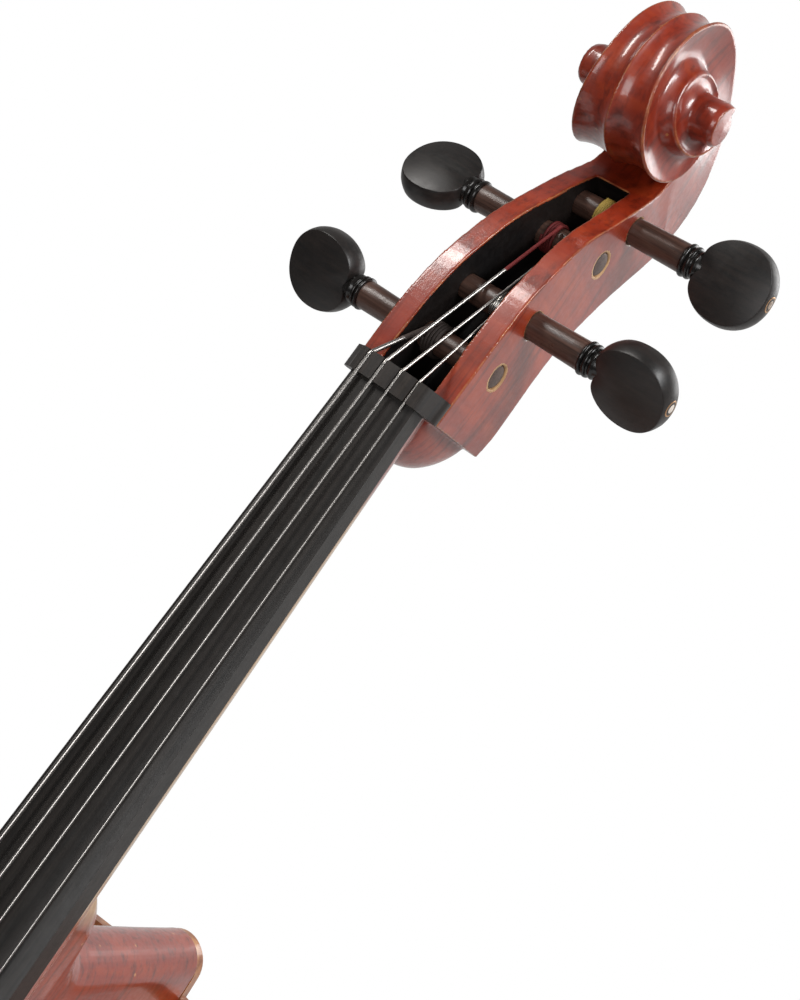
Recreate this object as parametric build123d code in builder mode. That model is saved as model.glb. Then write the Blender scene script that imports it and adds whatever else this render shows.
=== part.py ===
from build123d import *
import math
import os

os.makedirs("parts", exist_ok=True)

# A full-size cello, upright, +Z up, -Y is the front (strings) side, +X the treble side.
# Origin: tip of the endpin on the floor, on the endpin's axis. Millimetres.

# ---------------- driving dimensions ----------------
body_z = 160.0          # bottom edge of the body above the floor, endpin part way out
body_len = 756.0
rib_half = 59.0         # ribs are 118 deep, centred on y = 0
edge_t = 4.8            # plate thickness at the edge
plate_t = 4.5           # graduated plate thickness
rise_top = 22.7         # arch above the edge, front
rise_back = 20.7        # arch above the edge, back
overhang = 4.0
rib_t = 1.8
lining_t = 2.0
lining_h = 12.0
stop_len = 400.0        # top edge of the body to the bridge
neck_len = 290.0        # nut to the edge of the body
neck_tilt = 10.0        # degrees
overstand = 20.5
fb_len = 582.0
fb_hw0, fb_hw1 = 15.7, 31.8
fb_r = 62.0             # radius of the playing surface
fb_t0, fb_t1 = 10.0, 18.3   # centre depth of the board at the nut and at its free end
nut_len = 9.5
string_dx_nut = 7.85
string_dx_bridge = 15.9
string_d = {"c": 1.9, "g": 1.5, "d": 1.25, "a": 1.0}
bridge_h = 90.0
peg_taper_r0, peg_taper_r1 = 6.0, 4.95
running = 0.05          # radial clearance of every turning fit
endpin_r = 5.0
endpin_len = 500.0

bridge_v = body_len - stop_len
c10, s10 = math.cos(math.radians(neck_tilt)), math.sin(math.radians(neck_tilt))
fb_joint_n = -14.0
O_y = -(rib_half + edge_t + overstand) + neck_len * s10 + fb_joint_n * c10
O_z = body_z + body_len + neck_len * c10 - fb_joint_n * s10


def NF(x, w, n):
    """Neck frame to row frame: x across, w along the neck to the scroll, n out of the board."""
    return Vector(x, O_y + w * s10 - n * c10, O_z + w * c10 + n * s10)


wv = Vector(0, s10, c10)
nv = Vector(0, -c10, s10)
side_plane = Plane(origin=NF(0, 0, 0), x_dir=wv, z_dir=(1, 0, 0))      # local (w, n), normal +X


def side_at(x):
    return Plane(origin=NF(x, 0, 0), x_dir=wv, z_dir=(1, 0, 0))


def plan_at(n):
    """Local (w, -x) seen along n: a plane across the neck's front, normal = n."""
    return Plane(origin=NF(0, 0, n), x_dir=wv, z_dir=nv)


def neck_section(w, n=0.0):
    """Local (x, n), across the neck."""
    return Plane(origin=NF(0, w, n), x_dir=(1, 0, 0), z_dir=-wv)


def fb_crown(x):
    return -x * x / (2 * fb_r)


# ---------------- body outline ----------------
lower_pts = [(0, 0), (35, 1), (75, 6), (130, 25), (180, 66), (210, 112), (220, 155), (214, 205), (199, 252), (190, 285), (194, 316)]
cbout_pts = [(187, 325), (164, 331), (141, 347), (124, 374), (116, 407), (116, 438), (122, 464), (136, 485), (157, 495)]
upper_pts = [(163, 504), (156, 523), (156, 546), (162, 575), (169, 603), (171.5, 627), (167, 658), (153, 692), (127, 723), (95, 741.5), (60, 751), (30, 755.2), (0, 756)]

lower_edge = Edge.make_spline([Vector(x, v, 0) for x, v in lower_pts])
cbout_edge = Edge.make_spline([Vector(x, v, 0) for x, v in cbout_pts])
upper_edge = Edge.make_spline([Vector(x, v, 0) for x, v in upper_pts])


def offset_pts(edge, off, t0=0.0, t1=1.0, n=13):
    out = []
    for i in range(n):
        t = t0 + (t1 - t0) * i / (n - 1)
        p, g = edge @ t, edge % t
        out.append((p.X - g.Y * off, body_z + p.Y + g.X * off))
    return out


def mirrored(pts):
    return [(-x, z) for x, z in pts]


def outline_runs(off):
    """Closed outline at an inward offset: right half upwards, then left half downwards."""
    r = [offset_pts(lower_edge, off, n=15), offset_pts(cbout_edge, off, n=15), offset_pts(upper_edge, off, n=17)]
    r[0][0] = (0.0, r[0][0][1])
    r[2][-1] = (0.0, r[2][-1][1])
    left = [list(reversed(mirrored(p))) for p in reversed(r)]
    return r + left


hollow_pts = [(0, 20), (70, 24), (125, 43), (166, 78), (192, 118), (201, 156), (196, 200), (178, 246), (150, 285), (118, 322),
              (99, 365), (94, 410), (96, 450), (107, 485), (126, 520), (141, 560), (150, 600), (151, 640), (143, 678), (118, 710), (85, 727), (42, 735), (0, 736)]

arch_w = [(0, 120), (60, 172), (110, 205), (155, 214), (210, 205), (260, 176), (310, 142), (360, 120), (410, 112), (450, 114), (495, 124),
          (540, 142), (590, 160), (625, 164), (670, 158), (710, 132), (756, 95)]


def lerp(tab, v):
    if v <= tab[0][0]:
        return tab[0][1]
    for (a, fa), (b, fb) in zip(tab, tab[1:]):
        if v <= b:
            k = (v - a) / (b - a)
            return fa + (fb - fa) * k
    return tab[-1][1]


def ease(t):
    t = max(0.0, min(1.0, t))
    return t * t * (3 - 2 * t)


def arch(x, v, rise):
    """Height of the arched plate above its flat edge at (x, v)."""
    w = sum(lerp(arch_w, v + k) for k in (-24, -12, 0, 12, 24)) / 5
    t = min(1.0, abs(x) / w)
    along = ease(v / 250.0) * ease((body_len - v) / 230.0)
    along = along ** 0.8
    return rise * along * (math.cos(math.pi * t) + 1) / 2


def arch_face(sign, rise, base):
    """Arched surface; sign -1 is the front. base = distance of the flat edge from y = 0."""
    rows = []
    for i in range(29):
        v = -24 + (body_len + 48) * i / 28
        rows.append([Vector(x, sign * (base + arch(x, v, rise)), body_z + v) for x in [-236 + 472 * j / 24 for j in range(25)]])
    return Face.make_surface_from_array_of_points(rows, tol=0.05, min_deg=3, max_deg=3)


def under(face, sign):
    """Solid from an arched surface back towards y = 0 and beyond."""
    return extrude(face, amount=140, dir=(0, -sign, 0))


top_out = under(arch_face(-1, rise_top, rib_half + edge_t), -1)
top_in = under(arch_face(-1, rise_top, rib_half + edge_t - plate_t), -1)
back_out = under(arch_face(1, rise_back, rib_half + edge_t), 1)
back_in = under(arch_face(1, rise_back, rib_half + edge_t - plate_t), 1)


def top_y(x, v):
    return -(rib_half + edge_t + arch(x, v, rise_top))


# ---------------- neck, pegbox and scroll ----------------
# front edge and back edge of the head in (w, n)
head_front = [(9.6, -9.6), (33, -10.2), (52, -12.5), (68, -17.5), (80, -22.3), (92, -29.0), (104, -38.0), (114, -45.5), (122, -51.5)]
head_back = [(-2, -57.5), (6, -59.0), (20, -57.2), (35, -56.2), (52, -58.6), (68, -64.0), (88, -74.0), (104, -83.5), (120, -92.0), (136, -97.0), (150, -96.5), (164, -89.5), (176, -78.0), (186, -61.0), (191.5, -44.0)]
scroll_top = [(192.0, -36.0), (186.5, -20.5), (177.0, -9.5), (163.0, -3.0), (149.0, -3.5), (136.5, -9.5), (128.5, -19.5), (125.5, -31.0), (125.5, -42.0)]
peg_axes = {"c": (29.4, -27.2, -1), "a": (53.5, -28.7, 1), "g": (91.3, -49.4, -1), "d": (111.6, -57.3, 1)}   # w, n, side of the head
cheek_hw = {"c": 22.4, "a": 21.4, "g": 18.9, "d": 18.3}
collar_x = {"c": 45.6, "a": 45.2, "g": 42.2, "d": 42.2}


def peg_r(side_x, collar):
    """Shaft radius at a distance side_x from the middle plane, head side positive."""
    k = (collar - side_x) / (collar + 22.0)
    return peg_taper_r0 + (peg_taper_r1 - peg_taper_r0) * k


with BuildPart() as neck_and_scroll:
    # head: side profile, full width
    with BuildSketch(side_at(-22.6)):
        with BuildLine():
            l1 = Spline(*head_front)
            l2 = Line(head_front[-1], scroll_top[-1])
            l3 = Spline(*reversed(scroll_top))
            l4 = Line(scroll_top[0], head_back[-1])
            l5 = Spline(*reversed(head_back))
            l6 = Line(head_back[0], (0, -10.0))
            l7 = Line((0, -10.0), head_front[0])
        make_face()
    extrude(amount=45.2)
    # taper of the head in plan: wide at the nut, narrow at the back of the scroll
    with BuildSketch(plan_at(-130)):
        with BuildLine():
            Polyline((-12, 22.5), (14, 22.5), (34, 22.3), (53, 21.4), (70, 20.5), (92, 18.9), (112, 18.3), (122, 17.2), (131, 14.5), (140, 12.5), (200, 12.2),
                     (200, -12.2), (140, -12.5), (131, -14.5), (122, -17.2), (112, -18.3), (92, -18.9), (70, -20.5), (53, -21.4), (34, -22.3), (14, -22.5), (-12, -22.5), close=True)
        make_face()
    extrude(amount=170, mode=Mode.INTERSECT)
    # the volutes: one turn stands on another, out to the eyes
    for sgn in (-1, 1):
        for cw, cn, rr, xa, xb in ((155.4, -36.6, 28.2, 8.0, 17.5), (155.6, -37.6, 23.6, 17.5, 21.5), (156.2, -37.6, 19.4, 21.5, 25.0),
                                   (155.2, -38.0, 15.0, 25.0, 28.0), (155.0, -37.0, 11.0, 28.0, 30.2), (155.4, -37.2, 7.4, 30.2, 32.0)):
            with BuildSketch(side_at(sgn * xa)):
                with Locations((cw, cn)):
                    Circle(rr)
            extrude(amount=sgn * (xb - xa))
    # chin below the nut
    with BuildSketch(side_at(-15.5)):
        with BuildLine():
            Spline((10, -12), (-9, -13.0), (-16.0, -24), (-18.2, -36), (-14.0, -49), (-4, -57.5), (8, -56), (10, -30), (10, -12))
        make_face()
    extrude(amount=31.0)
    # shaft of the neck: U sections
    for w0, hw, nj, nb in ((8.0, 15.2, -10.0, -30.0), (-30.0, 16.2, -10.4, -29.2), (-130.0, 19.0, -11.9, -33.0), (-225.0, 21.4, -13.2, -37.5), (-262.0, 22.2, -13.8, -41.5)):
        with BuildSketch(neck_section(w0)):
            with BuildLine():
                Line((-hw, nj), (hw, nj))
                Spline((hw, nj), (hw * 0.85, nj - 0.36 * (nj - nb)), (hw * 0.49, nb + 0.24 * (nj - nb)), (0, nb), (-hw * 0.49, nb + 0.24 * (nj - nb)), (-hw * 0.85, nj - 0.36 * (nj - nb)), (-hw, nj),
                       tangents=[(-0.12, -1), (-0.12, 1)])
            make_face()
    loft(ruled=True)
    # pegbox trough, open at the front
    with BuildSketch(side_at(-30), mode=Mode.PRIVATE) as trough_side:
        with BuildLine():
            Polyline((10.2, 0), (10.2, -46), (34, -46.5), (54, -49), (70, -55), (90, -65), (104, -73), (114, -74), (120, -66), (122.5, -50.5), (122.5, 0), close=True)
        make_face()
    with BuildSketch(plan_at(-90), mode=Mode.PRIVATE) as trough_plan:
        with BuildLine():
            Polyline((10.2, 13.4), (34, 12.8), (53, 12.0), (70, 11.2), (92, 9.9), (112, 9.0), (122.5, 8.0), (122.5, -8.0), (112, -9.0), (92, -9.9), (70, -11.2), (53, -12.0), (34, -12.8), (10.2, -13.4), close=True)
        make_face()
    trough = extrude(trough_side.sketch, amount=60, mode=Mode.PRIVATE) & extrude(trough_plan.sketch, amount=100, mode=Mode.PRIVATE)
    add(trough, mode=Mode.SUBTRACT)
    # tapered peg holes
    for key, (pw, pn, side) in peg_axes.items():
        col = collar_x[key]
        xa, xb = side * (col - 14.0), -side * 26.0
        with BuildSketch(side_at(xa)):
            with Locations((pw, pn)):
                Circle(peg_r(col - 14.0, col) + running)
        with BuildSketch(side_at(xb)):
            with Locations((pw, pn)):
                Circle(peg_r(-26.0, col) + running)
        loft(mode=Mode.SUBTRACT)

# heel: side profile cut by a rounded plan, standing on the button of the back
with BuildPart() as heel_side:
    with BuildSketch(side_at(-23)):
        with BuildLine():
            Spline((-212, -36.5), (-228, -39.5), (-238, -47.5), (-241.0, -62), (-241.2, -90), (-241.0, -120), (-240.2, -152.7))
            Line((-240.2, -152.7), (-246, -153.8))
            Polyline((-246, -153.8), (-280, -160.0), (-303.0, -16), (-303.0, -14.2), (-212, -13.0), (-212, -36.5))
        make_face()
    extrude(amount=46)
with BuildPart() as heel_plan:
    with BuildSketch(Plane(origin=NF(0, 0, -165), x_dir=wv, z_dir=nv)):
        with BuildLine():
            ThreePointArc((-254.0, 13.3), (-240.7, 0), (-254.0, -13.3))
            Line((-254.0, -13.3), (-330, -13.3))
            Line((-330, -13.3), (-330, 13.3))
            Line((-330, 13.3), (-254.0, 13.3))
        make_face()
    extrude(amount=175, taper=-1.5)
heel_raw = heel_side.part & heel_plan.part
root_depth = 8.0       # the heel is let this far into the body
heel = heel_raw & Pos(0, -23.0, body_z + body_len - overhang - root_depth + 100) * Box(60, 164, 200)   # down to the mortise, y -105..59
shaft_side = Pos(0, 0, 0) * neck_and_scroll.part
with BuildPart() as neck_full:
    add(shaft_side)
    add(heel)
# anything of the shaft's loft past the heel is trimmed with the mortise
neck_solid = neck_full.part - (Pos(0, 0, body_z + body_len - overhang - root_depth - 50) * Box(80, 400, 100))
neck_and_scroll.part = neck_solid.solids().sort_by(SortBy.VOLUME)[-1]
neck_and_scroll.part.label = "neck_and_scroll"
export_step(neck_and_scroll.part, "parts/neck_and_scroll.step")

# ---------------- plates, ribs, blocks, linings ----------------
button_r = 13.4
button_z = body_z + body_len + 10.8


def outline_face(off, y0, plane_sign=1):
    """Closed outline face at y = y0."""
    runs = outline_runs(off)
    with BuildSketch(Plane.XZ.offset(-y0)) as sk:
        with BuildLine():
            for i, r in enumerate(runs):
                Spline(*r)
            for i in range(6):
                a, b = runs[i][-1], runs[(i + 1) % 6][0]
                if math.dist(a, b) > 1e-6:
                    Line(a, b)
        make_face()
    return sk.sketch


def hollow_face(y0):
    right = [(x, body_z + v) for x, v in hollow_pts]
    left = [(-x, z) for x, z in reversed(right)]
    with BuildSketch(Plane.XZ.offset(-y0)) as sk:
        with BuildLine():
            Spline(*right, tangents=[(1, 0), (-1, 0)])
            Spline(*left, tangents=[(-1, 0), (1, 0)])
        make_face()
    return sk.sketch


# f-hole of the treble side: centre line from the upper eye round to the lower eye, with half widths
f_line = [(51.5, 416.5), (52.5, 425.5), (58.5, 430.5), (66.0, 427.5), (71.0, 416.0), (73.2, 396.0), (74.0, 372.0), (75.6, 348.0), (78.2, 322.0), (80.8, 300.0), (85.2, 288.0), (91.8, 284.0), (98.0, 288.5), (99.5, 298.0)]
f_half = [1.6, 1.2, 2.0, 3.1, 3.9, 4.2, 4.3, 4.3, 4.2, 4.0, 3.2, 2.1, 1.4, 1.8]


def f_sketch(sgn, y0):
    e = Edge.make_spline([Vector(sgn * x, body_z + v, 0) for x, v in f_line])
    a, b = [], []
    nn = len(f_line) * 2 - 1
    for i in range(nn):
        t = i / (nn - 1)
        p, g = e @ t, e % t
        k = t * (len(f_half) - 1)
        j = min(int(k), len(f_half) - 2)
        hw = f_half[j] + (f_half[j + 1] - f_half[j]) * (k - j)
        a.append((p.X - g.Y * hw, p.Y + g.X * hw))
        b.append((p.X + g.Y * hw, p.Y - g.X * hw))
    with BuildSketch(Plane.XZ.offset(-y0)) as sk:
        with BuildLine():
            Spline(*a)
            Line(a[-1], b[-1])
            Spline(*reversed(b))
            Line(b[0], a[0])
        make_face()
        with Locations((sgn * 50.2, body_z + 412.0)):
            Circle(6.2)
        with Locations((sgn * 98.2, body_z + 303.5)):
            Circle(8.2)
    return sk.sketch


top_blank = extrude(outline_face(0.0, -rib_half), amount=40, dir=(0, -1, 0)) & top_out
top_hollow = extrude(hollow_face(-rib_half + 4), amount=44, dir=(0, -1, 0)) & top_in
f_cuts = [extrude(f_sketch(sgn, -40), amount=70, dir=(0, -1, 0)) for sgn in (-1, 1)]
back_blank = extrude(outline_face(0.0, rib_half), amount=40, dir=(0, 1, 0)) & back_out
back_hollow = extrude(hollow_face(rib_half - 4), amount=44, dir=(0, 1, 0)) & back_in

with BuildPart() as top_plate:
    add(top_blank)
    add(top_hollow, mode=Mode.SUBTRACT)
    add(f_cuts, mode=Mode.SUBTRACT)
    add(neck_and_scroll.part, mode=Mode.SUBTRACT)

with BuildPart() as back_plate:
    add(back_blank)
    add(back_hollow, mode=Mode.SUBTRACT)
    with BuildSketch(Plane.XZ.offset(-rib_half)):
        with Locations((0, button_z)):
            Circle(button_r)
        with Locations((0, button_z - 10)):
            Rectangle(2 * button_r, 20)
    extrude(amount=-edge_t)

# purfling: a flush inlaid strip that follows both outlines
purf_in, purf_out, purf_d = 5.6, 4.4, 1.4


def purfling(y_low, sgn):
    ring = extrude(outline_face(purf_out, y_low), amount=9.0, dir=(0, sgn, 0)) - extrude(outline_face(purf_in, y_low), amount=9.0, dir=(0, sgn, 0))
    return ring


purf_front = purfling(-(rib_half + edge_t - purf_d), -1) & top_out
purf_back = purfling(rib_half + edge_t - purf_d, 1) & back_out
with BuildPart() as purfling_front:
    add(purf_front)
    add(neck_and_scroll.part, mode=Mode.SUBTRACT)
with BuildPart() as purfling_back:
    add(purf_back)
top_plate.part = top_plate.part - purf_front
back_plate.part = back_plate.part - purf_back


def strip(edge, o0, o1, t0, t1, y0, y1, sgn, n=13):
    """Bent strip between two offsets of one bout curve, from y0 to y1."""
    a = [(sgn * x, z) for x, z in offset_pts(edge, o0, t0, t1, n)]
    b = [(sgn * x, z) for x, z in offset_pts(edge, o1, t0, t1, n)]
    with BuildSketch(Plane.XZ.offset(-y0)) as sk:
        with BuildLine():
            Spline(*a)
            Line(a[-1], b[-1])
            Spline(*reversed(b))
            Line(b[0], a[0])
        make_face()
    return extrude(sk.sketch, amount=y1 - y0, dir=(0, 1, 0))


rib_out, rib_in = overhang, overhang + rib_t
ribs = {}
for side, sgn in (("bass", -1), ("treble", 1)):
    for nm, e, t0, t1 in (("lower", lower_edge, 0.0005, 1.0), ("center", cbout_edge, 0.0, 1.0), ("upper", upper_edge, 0.0, 0.9995)):
        ribs[nm, side] = strip(e, rib_out, rib_in, t0, t1, -rib_half, rib_half, sgn, 17)

endpin_hole_r = 14.2


def endpin_cone(r0, r1, z0, z1):
    with BuildPart() as cone:
        with BuildSketch(Plane.XY.offset(z0)):
            Circle(r0)
        with BuildSketch(Plane.XY.offset(z1)):
            Circle(r1)
        loft()
    return cone.part


plug_cut = endpin_cone(14.4, 12.6, body_z - 2, body_z + 46)

for (nm, side), s in ribs.items():
    with BuildPart() as rib:
        add(s)
        if nm == "upper":
            add(neck_and_scroll.part, mode=Mode.SUBTRACT)
        if nm == "lower":
            add(plug_cut, mode=Mode.SUBTRACT)
    ribs[nm, side] = rib.part

inside = {}
for y0, key in ((-rib_half, "all"),):
    inside[key] = extrude(outline_face(rib_in + 0.15, -rib_half), amount=2 * rib_half, dir=(0, 1, 0))

with BuildPart() as upper_block:
    with BuildSketch(Plane.XY.offset(body_z + body_len - 45)):
        Rectangle(150, 2 * rib_half)
    extrude(amount=50)
    add(inside["all"], mode=Mode.INTERSECT)
    add(neck_and_scroll.part, mode=Mode.SUBTRACT)
with BuildPart() as lower_block:
    with BuildSketch(Plane.XY.offset(body_z - 4)):
        Rectangle(140, 2 * rib_half)
    extrude(amount=44)
    add(inside["all"], mode=Mode.INTERSECT)
    add(plug_cut, mode=Mode.SUBTRACT)

blocks = []
for sgn in (-1, 1):
    for tri in (((196, 330), (196, 296), (170, 296), (150, 325), (150, 345), (172, 340)), ((170, 510), (170, 530), (148, 532), (128, 506), (128, 488), (145, 498))):
        with BuildPart() as blk:
            with BuildSketch(Plane.XZ.offset(-rib_half)):
                with BuildLine():
                    Polyline(*[(sgn * x, body_z + v) for x, v in tri], close=True)
                make_face()
            extrude(amount=2 * rib_half)
            add(inside["all"], mode=Mode.INTERSECT)
            add(list(ribs.values()), mode=Mode.SUBTRACT)
        blocks.append(blk.part.solids().sort_by(SortBy.VOLUME)[-1])
corner_blocks_part = Compound(children=blocks)

# linings, in runs between the blocks
lining_runs = ((lower_edge, 0.16, 0.915), (cbout_edge, 0.27, 0.73), (upper_edge, 0.12, 0.70))


def linings(y0, y1):
    out = []
    for sgn in (-1, 1):
        for e, t0, t1 in lining_runs:
            out.append(strip(e, rib_in + 0.15, rib_in + 0.15 + lining_t, t0, t1, y0, y1, sgn, 17).solids()[0])
    return out


lin_front_raw = linings(-rib_half, -rib_half + lining_h)
lin_back_raw = linings(rib_half - lining_h, rib_half)
with BuildPart() as linings_front:
    add(lin_front_raw)
    add(neck_and_scroll.part, mode=Mode.SUBTRACT)
with BuildPart() as linings_back:
    add(lin_back_raw)
block_cut = [upper_block.part, lower_block.part] + blocks
for b in block_cut:
    linings_front.part = linings_front.part - b
    linings_back.part = linings_back.part - b

# bass bar under the bass foot of the bridge, and the sound post behind the treble foot
with BuildPart() as bass_bar:
    with BuildSketch(Plane.YZ.offset(-45.0)):
        with BuildLine():
            Spline((-62.5, body_z + 115), (-66.0, body_z + 200), (-62.0, body_z + 380), (-66.0, body_z + 560), (-62.5, body_z + 640))
            Line((-62.5, body_z + 640), (-95, body_z + 640))
            Line((-95, body_z + 640), (-95, body_z + 115))
            Line((-95, body_z + 115), (-62.5, body_z + 115))
        make_face()
    extrude(amount=10.5)
    add(top_in, mode=Mode.INTERSECT)
with BuildPart() as sound_post:
    with BuildSketch(Plane.XZ.offset(-(rib_half + 22))):
        with Locations((34, body_z + bridge_v - 14)):
            Circle(5.5)
    extrude(amount=2 * rib_half + 46)
    add(top_in, mode=Mode.INTERSECT)
    add(back_in, mode=Mode.INTERSECT)

# ---------------- fingerboard, nut, saddle ----------------
with BuildPart() as fingerboard:
    for w0, hw, t in ((0.0, fb_hw0, fb_t0), (-fb_len / 2, (fb_hw0 + fb_hw1) / 2, (fb_t0 + fb_t1) / 2), (-fb_len, fb_hw1, fb_t1)):
        with BuildSketch(neck_section(w0)):
            with BuildLine():
                ThreePointArc((-hw, fb_crown(hw)), (0, 0), (hw, fb_crown(hw)))
                Line((hw, fb_crown(hw)), (hw, -t))
                Line((hw, -t), (-hw, -t))
                Line((-hw, -t), (-hw, fb_crown(hw)))
            make_face()
    loft(ruled=True)
    # hollowed underside past the neck
    with BuildSketch(neck_section(-312.0)):
        with BuildLine():
            ThreePointArc((-15, -20), (0, -9.0), (15, -20))
            Line((15, -20), (-15, -20))
        make_face()
    with BuildSketch(neck_section(-fb_len - 1)):
        with BuildLine():
            ThreePointArc((-23, -26), (0, -9.5), (23, -26))
            Line((23, -26), (-23, -26))
        make_face()
    loft(mode=Mode.SUBTRACT)
    add(neck_and_scroll.part, mode=Mode.SUBTRACT)

string_x = {"c": -1.5, "g": -0.5, "d": 0.5, "a": 1.5}
end_clear = {"c": 10.1, "g": 9.5, "d": 8.3, "a": 7.1}


def nut_pt(key):
    x = string_x[key] * string_dx_nut
    return x, 5.0, fb_crown(x) + 1.9


def bridge_pt(key):
    x = string_x[key] * string_dx_bridge
    return x, fb_crown(x) + end_clear[key]


with BuildPart() as nut:
    with BuildSketch(neck_section(0.0)):
        with BuildLine():
            ThreePointArc((-15.9, 0.6), (0, 2.4), (15.9, 0.6))
            Spline((15.9, 0.6), (18.6, -2.4), (22.2, -6.2), (22.3, -9.8))
            Line((22.3, -9.8), (-22.3, -9.8))
            Spline((-22.3, -9.8), (-22.2, -6.2), (-18.6, -2.4), (-15.9, 0.6))
        make_face()
    extrude(amount=-nut_len)
    for key in "cgda":
        x, w0, n0 = nut_pt(key)
        with BuildSketch(neck_section(-1)):
            with Locations((x, n0 - 0.45)):
                Circle(string_d[key] / 2 + 0.15)
            with Locations((x, n0 + 1.2)):
                Rectangle(string_d[key] + 0.3, 3.3)
        extrude(amount=-12, mode=Mode.SUBTRACT)
    add(neck_and_scroll.part, mode=Mode.SUBTRACT)

with BuildPart() as saddle:
    with BuildSketch(Plane.YZ.offset(-19)):
        with BuildLine():
            Polyline((-59.0, body_z + 0.3), (-59.0, body_z + 8), (-70, body_z + 8), (-75.5, body_z + 5), (-75.5, body_z + 1.5), (-72, body_z - 1.2), (-64, body_z - 1.2), (-62, body_z + 0.3), close=True)
        make_face()
    extrude(amount=38)
    fillet(saddle.edges().filter_by(Axis.X).group_by(Axis.Y)[0], radius=1.4)
top_plate.part = top_plate.part - saddle.part
purfling_front.part = purfling_front.part - saddle.part

# ---------------- bridge ----------------
bz = body_z + bridge_v
bridge_top = {}
for key in "cgda":
    x, n0 = bridge_pt(key)
    w0 = (bz - O_z - n0 * s10) / c10
    bridge_top[key] = NF(x, w0, n0)

half_bridge = [(0, -177.6), (16, -176.6), (27.5, -172.2), (30.5, -168.5), (31.0, -162), (36.5, -155), (38, -147), (34.0, -139), (30.5, -132.5), (33.5, -126), (38.5, -119), (42.5, -108), (43.2, -98),
               (45.5, -90), (47.5, -86.0), (47.5, -74.0), (24.5, -74.0), (24.5, -87.2), (27.5, -93.5), (25, -101), (17, -106.5), (8, -108.5), (0, -109)]
with BuildPart() as bridge:
    with BuildSketch(Plane.XY.offset(bz - 5.4)):
        with BuildLine():
            Polyline(*half_bridge, *[(-x, y) for x, y in reversed(half_bridge[1:-1])], close=True)
        make_face()
        # heart
        with BuildLine(mode=Mode.ADD) as heart:
            Spline((0, -146), (7.5, -141), (9.5, -134), (5, -127.5), (0, -124.5), (-5, -127.5), (-9.5, -134), (-7.5, -141), (0, -146))
        make_face(heart.edges(), mode=Mode.SUBTRACT)
        # side openings
        for sgn in (-1, 1):
            with Locations((sgn * 26.5, -146.5)):
                Ellipse(4.6, 7.6, rotation=sgn * 12, mode=Mode.SUBTRACT)
    extrude(amount=10.8)
    # thin towards the top, from the fingerboard side
    with BuildSketch(Plane.YZ.offset(-60)):
        with BuildLine():
            Polyline((-74, bz + 5.5), (-90, bz + 5.3), (-178.5, bz - 2.4), (-178.5, bz + 10), (-74, bz + 10), close=True)
        make_face()
    extrude(amount=120, mode=Mode.SUBTRACT)
    add(top_out, mode=Mode.SUBTRACT)
    for key in "cgda":
        p = bridge_top[key]
        with BuildSketch(Plane.XY.offset(bz - 8)):
            with Locations((p.X, p.Y + 1.1)):
                Circle(string_d[key] / 2 + 0.6)
            with Locations((p.X, p.Y - 2.4)):
                Rectangle(string_d[key] + 1.2, 7)
        extrude(amount=16, mode=Mode.SUBTRACT)

# ---------------- tailpiece, tail cord, fine tuners ----------------
tp_z0, tp_z1 = body_z + 12.0, body_z + 240.0
tp_y0, tp_y1 = -84.0, -126.0
tilt = math.atan2(tp_y0 - tp_y1, tp_z1 - tp_z0)
tp_dir = Vector(0, (tp_y1 - tp_y0), (tp_z1 - tp_z0)).normalized()
tp_n = Vector(0, -tp_dir.Z, tp_dir.Y)          # outward, towards the front
tp_len = math.dist((tp_y0, tp_z0), (tp_y1, tp_z1))


def TP(x, s, h):
    """Tailpiece frame: s up its length from the saddle end, h outward."""
    return Vector(x, tp_y0, tp_z0) + tp_dir * s + tp_n * h


def tp_section(s):
    return Plane(origin=TP(0, s, 0), x_dir=(1, 0, 0), z_dir=-tp_dir)


tuner_s = 206.0         # pivot line of the tuner levers
lever_x = {k: string_x[k] * 11.2 for k in "cgda"}
with BuildPart() as tailpiece:
    for s, hw, t in ((0.0, 13.0, 10.0), (60.0, 15.0, 10.5), (150.0, 22.0, 11.5), (tp_len, 28.5, 12.0)):
        with BuildSketch(tp_section(s)):
            with BuildLine():
                ThreePointArc((-hw, -t * 0.45), (0, 4.0), (hw, -t * 0.45))
                Line((hw, -t * 0.45), (hw * 0.92, -t * 0.85))
                ThreePointArc((hw * 0.92, -t * 0.85), (0, -4.5), (-hw * 0.92, -t * 0.85))
                Line((-hw * 0.92, -t * 0.85), (-hw, -t * 0.45))
            make_face()
    loft(ruled=True)
    for key in "cgda":
        with BuildSketch(Plane(origin=TP(lever_x[key], tuner_s, -30), x_dir=(1, 0, 0), z_dir=tp_n)):
            SlotOverall(34.0, 5.6, rotation=90)
        extrude(amount=50, mode=Mode.SUBTRACT)
    # cord holes up the saddle end
    with BuildSketch(tp_section(-5)):
        with Locations((-7.5, -1.6), (7.5, -1.6)):
            Circle(1.9)
    extrude(amount=-32, mode=Mode.SUBTRACT)
    fillet(tailpiece.edges().filter_by(GeomType.LINE).filter_by(lambda e: abs((e % 0.5).dot(tp_dir)) < 0.05 and e.length > 2).group_by(Axis.Z)[-1], radius=0.4)

with BuildPart() as tail_fret:
    with BuildSketch(tp_section(tp_len - 6)):
        with BuildLine():
            ThreePointArc((-25, 1.1), (0, 6.0), (25, 1.1))
            Line((25, 1.1), (25, -1.0))
            ThreePointArc((25, -1.0), (0, 3.4), (-25, -1.0))
            Line((-25, -1.0), (-25, 1.1))
        make_face()
    extrude(amount=-4)
    add(tailpiece.part, mode=Mode.SUBTRACT)
tail_fret.part = tail_fret.part.solids().sort_by(SortBy.VOLUME)[-1]

with BuildPart() as tuner_pins:
    for key in "cgda":
        with BuildSketch(Plane.YZ.offset(lever_x[key] - 5.2)):
            with Locations((TP(0, tuner_s, -2.0).Y, TP(0, tuner_s, -2.0).Z)):
                Circle(1.0)
        extrude(amount=10.4)
tailpiece.part = tailpiece.part - tuner_pins.part

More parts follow.
